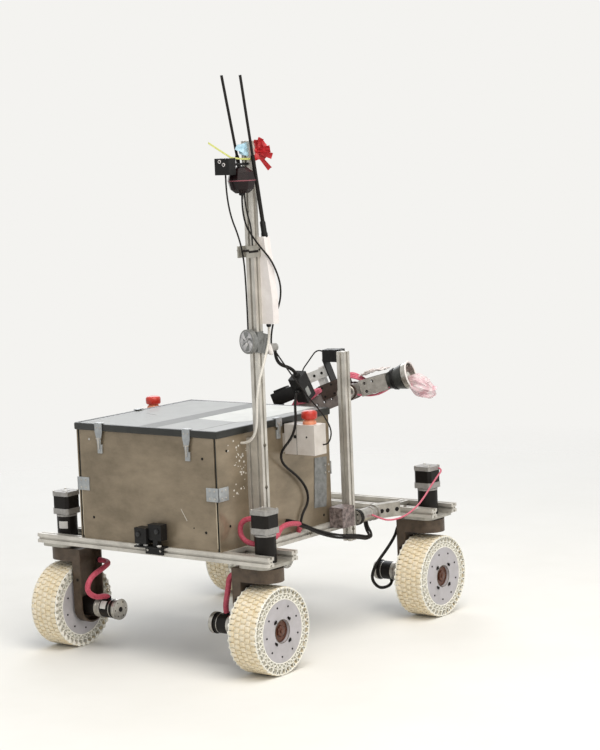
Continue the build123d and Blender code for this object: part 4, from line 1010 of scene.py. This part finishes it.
# Ribbon's ends: direction to the camera's right and upwards, length, width
PETALS = ((0.2, 1.0, 30, 14), (0.55, 1.0, 36, 15), (1.0, 0.7, 34, 16), (1.0, 0.1, 42, 18),
          (1.0, -0.35, 46, 16), (0.75, -1.0, 62, 13), (0.25, -1.0, 26, 16), (1.0, 0.4, 24, 20),
          (0.9, -0.75, 34, 15))


def flags():
    """Blue tape and red ribbon that flutter from the mast's top."""
    blue = bmesh.new()
    crumpled(blue, [at(-307.8, -290, 1326), at(-334, -284, 1334), at(-338, -282, 1356),
                    at(-307.8, -287, 1364)], 10, 3.4, 13, 0.6, 7.7)
    crumpled(blue, [at(-330, -292, 1336), at(-350, -280, 1346), at(-342, -283, 1358),
                    at(-318, -290, 1360)], 8, 2.6, 10, 0.6, 3.3)
    show("blue_flag", blue, "chassis", blue_tape, 60)
    red = bmesh.new()
    root = at(-280, -290, 1340)
    for index, (right, up, length, width) in enumerate(PETALS):
        drift = 0.35 * (index % 3 - 1)
        direction = TO_RIGHT * right + Vector((0, 0, up)) + AWAY * drift
        petal(red, root, direction, length, width, 1.7 * index)
    turned(red, aim(root, TO_RIGHT), ((4, -6), (7, -2), (7, 3), (3, 7)), 12)
    show("red_ribbon", red, "chassis", ribbon_red, 60)


def mast_camera():
    """Two ringed lenses on the camera's rear face."""
    rings = bmesh.new()
    glass = bmesh.new()
    for y, z, radius in ((-274, 1317, 3.8), (-287, 1309, 3.8)):
        place = face(-405.7, y, z, REAR)
        hoop(rings, place @ shift(0, 0, 1), radius, 1.0, 24)
        turned(glass, place, ((radius, 0), (radius, 1.2), (0.6 * radius, 2.2), (1.0, 2.8)), 24)
    show("camera_rings", rings, "chassis", white_print)
    show("camera_lenses", glass, "chassis", lens_glass)


def beacon_fittings():
    """Pale seam round the beacon's widest line, and its black cap."""
    seam = bmesh.new()
    centre = face(-345.9, -294.1, 1267, UP)
    turned(seam, centre, ((36.6, -1.3), (37.5, -0.8), (37.5, 0.8), (36.6, 1.3)), 8, tau / 16)
    show("beacon_seam", seam, "chassis", beacon_seam)
    cap = bmesh.new()
    turned(cap, centre, ((12, 31.8), (12, 34), (9, 36)), 24)
    turned(cap, centre, ((6, -38), (8, -36), (8, -31.8)), 20)
    show("beacon_caps", cap, "chassis", black_abs)


LAMP_EDGE_R = 27.4
LAMP_FACE = 14.2         # from the lamp's back to its face
LAMP = (Matrix.Translation(at(-317.7, -280.1, 853)) @ rotate(-15, "Z")
        @ rotate(-90, "Y"))


def lamp_fittings():
    """Taped-over face of the lamp on the mast, in creased foil, and its dull rim."""
    foil = bmesh.new()
    draw = random.Random(9)
    rings = []
    for radius in (LAMP_EDGE_R, 20, 12, 4):
        row = []
        for even in angles(14):
            angle = even + draw.uniform(-0.1, 0.1)
            crease = 0 if radius == LAMP_EDGE_R else draw.uniform(-1.6, 2.4)
            spot = on_circle(radius, angle, LAMP_FACE + crease)
            row.append(foil.verts.new(LAMP @ (spot * MM)))
        rings.append(row)
    for row, inner in zip(rings, rings[1:]):
        for turn in range(14):
            nearby = (turn + 1) % 14
            foil.faces.new((row[turn], row[nearby], inner[nearby]))
            foil.faces.new((row[turn], inner[nearby], inner[turn]))
    foil.faces.new(rings[-1])
    show("lamp_foil", foil, "chassis", lamp_foil, 12)
    rim = bmesh.new()
    turned(rim, LAMP, ((30.5, -0.5), (31.6, 0.5), (31.8, 12.5), (30.0, 14.4), (27.0, 14.0)), 48)
    show("lamp_rim", rim, "chassis", duct_tape)


def radio_fittings():
    """Screws, feet of the whips and the socket under the radio."""
    dark = bmesh.new()
    for y, z in ((-254, 905), (-322, 905), (-256, 1108), (-302, 1108)):
        screw(dark, -254.3, y, z, FRONT, 2.6)
    for y, lean in ((-301.1, 10.3), (-260.1, 13.5)):
        foot = Matrix.Translation(at(-268.3, y, 1119)) @ rotate(-lean, "Y")
        turned(dark, foot, ((8.5, 0), (8.5, 9), (7.4, 12), (7.4, 38), (5.6, 42)), 20)
    turned(dark, face(-268.3, -302.1, 896, (0, 0, -1)), ((6.5, 0), (6.5, 7), (4.6, 10)), 20)
    show("radio_fittings", dark, "chassis", black_abs)


def clamp_fittings():
    """Painted shade of the slot in the clamp's plate, as a thin dark strip, the plate's screws, and
    the strap's end.
    """
    heads = bmesh.new()
    for y, side in ((-296.8, RIGHT), (-263.4, LEFT)):
        # Thin dark strip on each face of the plate: painted shade of its slot
        slab(heads, face(-312, y, 1084, side), -20, 20, -3, 3, 0.3)
        for x in (-334, -288):
            screw(heads, x, y, 1088, side, 3.2, 2.0)
    block(heads, face(-345, -296, 1088, UP), (16, 3, 7), 1)
    show("clamp_slot_shade_and_screws", heads, "chassis", motor_black)


# Chassis fittings

STEPPER_TOP = 428.8

def rear_cameras():
    """Lenses, feet and screws of the camera pair on the rear crossbar."""
    x = -437.7
    rings = bmesh.new()
    glass = bmesh.new()
    for face_x, y, z, radius in ((x - 32, 4, 352, 6), (x - 25, -54, 362, 6)):
        place = face(face_x, y, z, REAR)
        turned(rings, place, ((radius + 2, 0), (radius + 2, 1.6), (radius + 1, 2.2)), 32)
        turned(glass, place, ((radius, 1.6), (radius, 2.4), (0.6 * radius, 3.0), (1, 3.3)), 32)
    show("rear_camera_rings", rings, "chassis", black_abs)
    show("rear_camera_lenses", glass, "chassis", lens_glass)
    pale = bmesh.new()
    for y in (-14, -60, 12):
        block(pale, face(x - 24, y, 323.5, UP), (9, 9, 5), 1.2)
    show("rear_camera_feet", pale, "chassis", label_white)
    heads = bmesh.new()
    for y in (-46, -2):
        screw(heads, x - 4, y, 306, REAR, 3.4, 2.2)
    show("rear_camera_screws", heads, "chassis", turned_silver)


def hanging_box_fittings():
    """Blank plate and the cables' glands on the small box that hangs beside the lid."""
    tilt = Matrix.Translation(at(-135, -300.1, 714)) @ rotate(-32, "Y")
    label = bmesh.new()
    block(label, tilt @ shift(-3, -17.2, -12), (14, 0.6, 26), 0.2)
    show("hanging_box_label", label, "chassis", label_grey)
    gland = bmesh.new()
    turned(gland, tilt @ shift(0, 0, 37.8), ((9, 0), (9, 4), (6.5, 8)), 20)
    turned(gland, tilt @ shift(-19.8, 0, 0) @ rotate(-90, "Y"), ((7, 0), (7, 4), (5, 7)), 20)
    show("hanging_box_glands", gland, "chassis", black_abs)


def steering_axis(corner):
    """A frame on the ground, on the axis that the fork turns about."""
    x, y = JOINTS["steer_" + corner]["pos_m"][:2]
    return Matrix.Translation((x, y, 0))


def steering_fittings(corner):
    """Screws of a stepper, and the ring and the label of its gearbox."""
    axis = steering_axis(corner)
    heads = bmesh.new()
    for sx in (-1, 1):
        for sy in (-1, 1):
            turned(heads, axis @ shift(sx * 23.2, sy * 23.2, STEPPER_TOP),
                   ((2.9, 0), (2.9, 1.4), (2.0, 2.4), (1.0, 2.6)), 14)
    turned(heads, axis @ shift(0, 0, STEPPER_TOP), ((11, 0), (11, 1.4), (3, 1.8)), 28)
    show("stepper_screws_" + corner, heads, "chassis", turned_silver)
    if corner == "rear_left":
        label = bmesh.new()
        curved_label(label, axis @ shift(0, 0, 338), 28.2, 20, 55, 197)
        show("gearbox_label_" + corner, label, "chassis", label_white)
    rings = bmesh.new()
    turned(rings, axis @ shift(0, 0, 360.5), ((28.3, 0), (28.6, 0.6), (28.6, 4.4), (28.3, 5)), 40)
    show("gearbox_ring_" + corner, rings, "chassis", cast_bell)


def fork_hole_shade_and_bolts(corner):
    """Painted shade of the holes in the fork's flanges, as thin dark discs, and the bolts of its
    skirt.
    """
    left = 1 if "left" in corner else -1
    axis = steering_axis(corner)
    hole_shade_and_bolts = bmesh.new()
    # Thin dark discs on the flanges: painted shade where the holes are
    for side, direction in ((-1, REAR), (1, FRONT)):
        place = aim(link(axis, side * 44.95, -left * 69, 194), direction)
        disc(hole_shade_and_bolts, place, 4.2, 0.25, 18)
    for z in (185, 215):
        place = aim(link(axis, -22, -left * 56, z), (0, -left, 0))
        disc(hole_shade_and_bolts, place, 3.4, 2.0, 14, edge_mm=0.5)
    show("fork_hole_shade_and_bolts_" + corner, hole_shade_and_bolts, "steer_" + corner, motor_black)


def frame_screws():
    """Button heads where the bars are bolted to each other."""
    heads = bmesh.new()
    spots = [(sx * 325, sy * y, 317, UP) for sx in (-1, 1) for sy in (-1, 1) for y in (264, 300)]
    spots += [(x, sy * 252.7, 304.3, side) for x in (-220, -60, 60, 240) for sy, side in SIDES]
    spots += [(MAST[0], -292.8, z, RIGHT) for z in (340, 470, 580)]
    spots += [(102, -278.1, z, RIGHT) for z in (290, 310)]
    for x, y, z, direction in spots:
        screw(heads, x, y, z, direction, 4.6, 2.6)
    show("frame_screws", heads, "chassis", dusty_steel)


def sampler_fittings():
    """Rings, flange, end and screws of the sampling unit's motor, and painted shade of the holes of
    its strip, as thin dark discs.
    """
    along = aim(at(119.7, -275, 318), FRONT)
    end = along @ shift(0, 0, -1.2)
    silver = bmesh.new()
    for start in (14, 60):
        turned(silver, along @ shift(0, 0, start), ((19.1, 0), (20.8, 0.8), (20.8, 5.2), (19.1, 6)),
               40)
    turned(silver, end, ((14, 0), (19, 0.4), (20.6, 1.2)), 40)
    show("sampler_rings", silver, "chassis", turned_silver)
    dark = bmesh.new()
    turned(dark, along, ((21.4, -0.4), (22.5, 0.4), (22.5, 9.6), (21.4, 10.4)), 40)
    for angle in angles(4, tau / 8):
        place = end @ shift(*on_circle(12, angle, 0)) @ rotate(180, "X")
        turned(dark, place, ((2.2, 0), (2.2, 1), (1, 1.4)), 12)
    strip = Matrix.Translation(at(214.6, -267, 318)) @ rotate(-23, "Z")
    # Thin dark discs on the strip: painted shade of its holes
    for x in (22, 41, 72):
        disc(dark, strip @ shift(x, -11.8, 0) @ rotate(90, "X"), 6.2, 0.5, 20)
    show("sampler_dark", dark, "chassis", motor_black)


# Arm


def arm_wires():
    """Pink wires that lie in the upper arm's channel and cross the elbow to the forearm."""
    for index, y in enumerate((-13, -9, -4, 1, 6, 10)):
        rise = 5 * (index % 3)
        points = [link(SHOULDER, 30, y, 12), link(SHOULDER, 66, -27, 26 + rise),
                  link(SHOULDER, 104, -31 - rise, 16 + 6 * index),
                  link(SHOULDER, 146, -29 - rise / 2, 30 + rise), link(SHOULDER, 184, y, 34),
                  link(SHOULDER, 214, y, 30 + rise)]
        wire(f"channel_wire_{index}", points, 6, "upper_arm", wire_pink)
        loop = [link(SHOULDER, 206, y, 29), link(SHOULDER, 226, y, 40 + rise),
                link(ELBOW, 22, y, 38 + rise), link(ELBOW, 50, y * 0.9, 16)]
        piece = bending_wire(f"elbow_wire_{index}", loop, 6, wire_pink)
        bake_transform(piece)
    tie = bmesh.new()
    for x in (62, 150):
        block(tie, SHOULDER @ shift(x, 0, 20), (4, 40, 14), 1)
    show("channel_ties", tie, "upper_arm", black_abs)


def shoulder_cover():
    """Black motor box that stands over the upper arm's root on two feet."""
    mesh = bmesh.new()
    block(mesh, SHOULDER @ shift(40, 0, 58), (84, 36, 38), 3)
    block(mesh, SHOULDER @ shift(30, 0, 79), (40, 30, 8), 2)
    for x in (8, 72):
        block(mesh, SHOULDER @ shift(x, 0, 30), (6, 46, 24), 0.8)
    show("shoulder_cover", mesh, "upper_arm", black_abs)


def boom_fittings():
    """Painted shade of the camera boom's holes, as thin dark discs, and its small pale blocks."""
    dark = bmesh.new()
    # Thin dark discs on both sides of the boom: painted shade of its holes
    for x in (122, 146, 170):
        for side in (-1, 1):
            place = SHOULDER @ shift(x, side * 13.9, 78)
            disc(dark, place @ rotate(-90 * side, "X"), 4.2, 0.4, 18)
    show("boom_hole_shade", dark, "upper_arm", motor_black)
    pale = bmesh.new()
    block(pale, SHOULDER @ shift(176, 0, 93.5), (20, 30, 5), 1)
    block(pale, SHOULDER @ shift(116, 0, 93.5), (14, 22, 4), 1)
    show("boom_blocks", pale, "upper_arm", white_print)


def elbow_fittings():
    """Ring and screws of the elbow's motor, and the screws of its bracket."""
    motor = SHOULDER @ shift(230, -27, 0) @ rotate(90, "X")
    bright = bmesh.new()
    turned(bright, motor @ shift(0, 0, 30), ((18.6, 0), (19.4, 0.8), (19.4, 8), (17, 10.4),
                                             (6, 10.8)), 40)
    turned(bright, motor, ((19.2, 0), (19.6, 1), (19.6, 5), (18.6, 6)), 40)
    show("elbow_rings", bright, "upper_arm", turned_silver)
    heads = bmesh.new()
    for angle in angles(6):
        place = motor @ shift(*on_circle(12, angle, 40.5))
        turned(heads, place, ((2.0, 0), (2.0, 1.0), (1.0, 1.3)), 10)
    for x, z in ((160, 38), (190, 38), (160, 12), (190, 12)):
        place = SHOULDER @ shift(x, -27, z) @ rotate(90, "X")
        turned(heads, place, ((3, 0), (3, 1.2), (1.4, 1.8)), 12)
    show("elbow_screws", heads, "upper_arm", motor_black)


def arm_camera_fittings():
    """Lens, seam and short lead of the camera over the elbow."""
    head = SHOULDER @ shift(218, 0, 112) @ rotate(21, "Y")
    front = head @ shift(26, 0, 0) @ rotate(90, "Y")
    glass = bmesh.new()
    turned(glass, front, ((13, 0), (13, 1.4), (9, 2.0), (8, 1.2), (1, 2.6)), 32)
    show("arm_camera_lens", glass, "upper_arm", lens_glass)
    shell = bmesh.new()
    block(shell, head @ shift(-6, 0, 0), (2, 42.8, 34.8), 0.6)
    block(shell, head @ shift(18, 0, 0), (8, 43.4, 35.4), 1.0)
    show("arm_camera_shell", shell, "upper_arm", black_abs)
    points = [link(head, -26, 4, 4), link(head, -48, 6, 22),
              link(SHOULDER, 142, -8, 122), link(SHOULDER, 112, -10, 104),
              link(SHOULDER, 108, -8, 84)]
    wire("arm_camera_lead", points, 4, "upper_arm", jacket_black)


def forearm_wrap():
    """White cloth wrapped over the forearm's channel, with wires showing under it."""
    mesh = bmesh.new()
    for start, end, low, high, seed in ((40, 78, 33, 41, 2.0), (60, 122, 39, 33, 6.0),
                                        (46, 104, 35, 37, 9.0)):
        crumpled(mesh, [link(ELBOW, start, -21, low), link(ELBOW, end, -23, high),
                        link(ELBOW, end, 22, high), link(ELBOW, start, 21, low)], 14, 5.0, 13,
                 2.0, seed)
    show("forearm_wrap", mesh, "forearm", white_wrap, 60)
    for index, y in enumerate((-15, -9, 11)):
        points = [link(ELBOW, 20, y, -14), link(ELBOW, 50, y, -26 - 2 * index),
                  link(ELBOW, 92, y, -27), link(ELBOW, 118, y, -17)]
        wire(f"forearm_wire_{index}", points, 5, "forearm", wire_pink)
    strap = bmesh.new()
    turned(strap, ALONG_FOREARM @ shift(0, 0, 128), ((26.8, 0), (28.4, 0.6), (31.2, 10),
                                                     (30.2, 11)), 40)
    show("wrist_strap", strap, "forearm", black_abs)


def bowl_fittings():
    """White rim, bright inside and hub of the wrist's bowl."""
    rim = bmesh.new()
    hoop(rim, ALONG_FOREARM @ shift(0, 0, 183), 37.0, 2.4, 48)
    show("bowl_rim", rim, "hand", white_print)
    inside = bmesh.new()
    bowl_floor = ALONG_FOREARM @ shift(0, 0, 170.2)
    turned(inside, bowl_floor, ((32.6, 0.6), (31.5, 0.4), (3, 0.3)), 48)
    turned(inside, bowl_floor, ((11, 0), (11, 5), (8, 8), (3, 9)), 24)
    show("bowl_inside", inside, "hand", reflector)


BAG_SIDES = 56
BAG_LIMIT = -463.0       # right edge of the rover, which the bag stays inside
# Bag over the hand: place along the forearm, height, radius across and upright
BAG_RINGS = ((170, -20, 11, 10), (176, -24, 19, 17), (184, -29, 27, 24), (195, -34, 33, 30),
             (208, -40, 35, 31), (220, -46, 31, 28), (229, -53, 23, 21), (236, -59, 13, 12),
             (239, -62, 5, 5))


def bag_film(mesh):
    """Add the bag's pleated and creased film, which stays inside the rover's width."""
    rows = []
    for x, z, across, upright in BAG_RINGS:
        row = []
        for angle in angles(BAG_SIDES):
            pleat = 1 + 0.17 * sin(7 * angle + 0.05 * x) + 0.12 * sin(13 * angle - 0.09 * x)
            spot = Vector((x, across * pleat * cos(angle), z + upright * pleat * sin(angle)))
            crease = noise.noise(spot / 11) * 9 + noise.noise(spot / 5) * 5
            spot += Vector((0, cos(angle), sin(angle))) * crease * min(1.0, across / 30)
            place = ELBOW @ (spot * MM)
            place.y = max(place.y, at(0, BAG_LIMIT, 0).y)
            row.append(mesh.verts.new(place))
        rows.append(row)
    join_rings(mesh, rows)


def bag():
    """Crumpled film bag that sags round the hand, tied inside the bowl."""
    mesh = bmesh.new()
    bag_film(mesh)
    for start, end, height, seed in ((204, 247, -50, 3.0), (194, 240, -66, 5.5),
                                     (186, 232, -24, 8.0)):
        crumpled(mesh, [link(ELBOW, start, -18, height), link(ELBOW, end, -12, height - 12),
                        link(ELBOW, end - 4, 14, height - 4), link(ELBOW, start, 10, height + 8)],
                 10, 5, 9, 0.5, seed)
    piece = show("bag", mesh, "hand", BAG_FILM, 80)
    rounder = piece.modifiers.new("rounder", "SUBSURF")
    rounder.levels = 1
    rounder.render_levels = 1
    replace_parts(piece, "gripper")


def hand_wires():
    """Pink wires of the hand, seen through its bag."""
    for index, y in enumerate((-14, -2, 10)):
        points = [link(ELBOW, 172, y / 2, -24), link(ELBOW, 190, y, -44 - 3 * index),
                  link(ELBOW, 212, y, -60 + 6 * index), link(ELBOW, 228, -y, -48),
                  link(ELBOW, 220, -y / 2, -34)]
        wire(f"hand_wire_{index}", points, 5, "hand", wire_pink)


# Camera, light and floor

EYE = at(-4731.7, -3783.4, 1418.7)
HEADING = radians(37.19)
PITCH = radians(6.66)
ROLL = radians(2.3)
LENS_MM = 105.6
SENSOR_MM = 36
FLOOR_R = 14.0           # metres, as are the distances between which the floor fades out
FLOOR_FADE = (1.2, 4.0)


def camera():
    """Camera of the photograph, with its slight roll."""
    ahead = Vector((cos(HEADING) * cos(PITCH), sin(HEADING) * cos(PITCH), -sin(PITCH)))
    level = Vector((sin(HEADING), -cos(HEADING), 0))
    upright = level.cross(ahead)
    right = level * cos(ROLL) - upright * sin(ROLL)
    up = level * sin(ROLL) + upright * cos(ROLL)
    data = bpy.data.cameras.new("camera")
    data.lens = LENS_MM
    data.sensor_width = SENSOR_MM
    data.clip_end = 100
    eye = bpy.data.objects.new("camera", data)
    eye.matrix_world = Matrix.Translation(EYE) @ Matrix((right, up, -ahead)).transposed().to_4x4()
    bpy.context.scene.collection.objects.link(eye)
    bpy.context.scene.camera = eye


def lamp(name, place, aim_at, size, power, colour):
    """A square soft lamp that points at a place, both in metres."""
    data = bpy.data.lights.new(name, "AREA")
    data.size = size
    data.energy = power
    data.color = linear(colour)[:3]
    made = bpy.data.objects.new(name, data)
    made.matrix_world = aim(Vector(place), Vector(place) - Vector(aim_at))
    bpy.context.scene.collection.objects.link(made)


def fade_out(finish, near, far):
    """Let a finish thin out to nothing between two distances from the middle, in metres."""
    tree = finish.node_tree
    place = add(tree, "TexCoord").outputs["Object"]
    reach = add(tree, "VectorMath", {0: place}, operation="LENGTH")
    fade = add(tree, "MapRange", {"Value": reach.outputs["Value"], "From Min": near,
                                  "From Max": far, "To Min": 1.0, "To Max": 0.0})
    tree.links.new(fade.outputs["Result"], tree.nodes["Principled BSDF"].inputs["Alpha"])


def studio():
    """Pale floor and surroundings, a wide soft lamp overhead and a weaker one by the camera."""
    world = bpy.data.worlds.new("studio")
    world.use_nodes = True
    tree = world.node_tree
    tree.nodes.clear()
    path = add(tree, "LightPath")
    camera_or_gloss = add(tree, "Math", {0: path.outputs["Is Camera Ray"],
                                         1: path.outputs["Is Glossy Ray"]}, operation="MAXIMUM")
    shown = add(tree, "Math", {0: camera_or_gloss.outputs[0],
                               1: path.outputs["Is Transmission Ray"]}, operation="MAXIMUM")
    light = add(tree, "Background", {"Color": linear("#eef1f5"), "Strength": 0.55})
    backdrop = add(tree, "Background", {"Color": linear("#f4f3f0"), "Strength": 1.0})
    mixed = add(tree, "MixShader", {0: shown.outputs[0], 1: light.outputs[0],
                                    2: backdrop.outputs[0]})
    add(tree, "OutputWorld", {"Surface": mixed.outputs[0]})
    bpy.context.scene.world = world
    floor_finish = surface("studio_floor", "#efeeea", "#eae9e4", 400, 20, 0.0, 0.9)
    fade_out(floor_finish, *FLOOR_FADE)
    mesh = bmesh.new()
    bmesh.ops.create_circle(mesh, cap_ends=True, segments=64, radius=FLOOR_R)
    data = bpy.data.meshes.new("floor")
    mesh.to_mesh(data)
    mesh.free()
    data.materials.append(floor_finish)
    floor = bpy.data.objects.new("floor", data)
    bpy.context.scene.collection.objects.link(floor)
    lamp("overhead", (-0.9, -1.7, 4.5), (0, 0, 0.4), 3.5, 170, "#fffaf2")
    lamp("camera_side", (-2.0, -4.8, 2.6), (0, 0, 0.5), 2.5, 60, "#fdf6ec")
    lamp("far_side", (3.0, 3.0, 3.0), (0, 0, 0.5), 2.5, 60, "#f4f8ff")


bpy.context.scene.view_settings.view_transform = "Standard"
dress_frame()
for node in ("box_panels", "lid_trim", "lid_sheet", "black_housings", "stop_boxes", "radio",
             "connector_box", "arm_camera", "camera_boom", "brackets", "bearing_plates",
             "stepper_caps", "arm_turret", "elbow_bracket", "mast_clamp"):
    soften(node, 0.8)
cables()
for corner in CORNERS:
    tyre(corner)
    wheel_bolts(corner)
    hub_centre(corner)
    drive_motor_fittings(corner)
    motor_sleeve(corner)
    steering_fittings(corner)
    fork_hole_shade_and_bolts(corner)
lid_tapes()
lid_trim()
brackets()
box_screws()
panel_wear()
tape_patch()
latches()
stop_fittings()
mast_wraps()
flags()
mast_camera()
beacon_fittings()
lamp_fittings()
radio_fittings()
clamp_fittings()
rear_cameras()
hanging_box_fittings()
frame_screws()
sampler_fittings()
arm_wires()
shoulder_cover()
boom_fittings()
elbow_fittings()
arm_camera_fittings()
forearm_wrap()
bowl_fittings()
bag()
hand_wires()
studio()
camera()
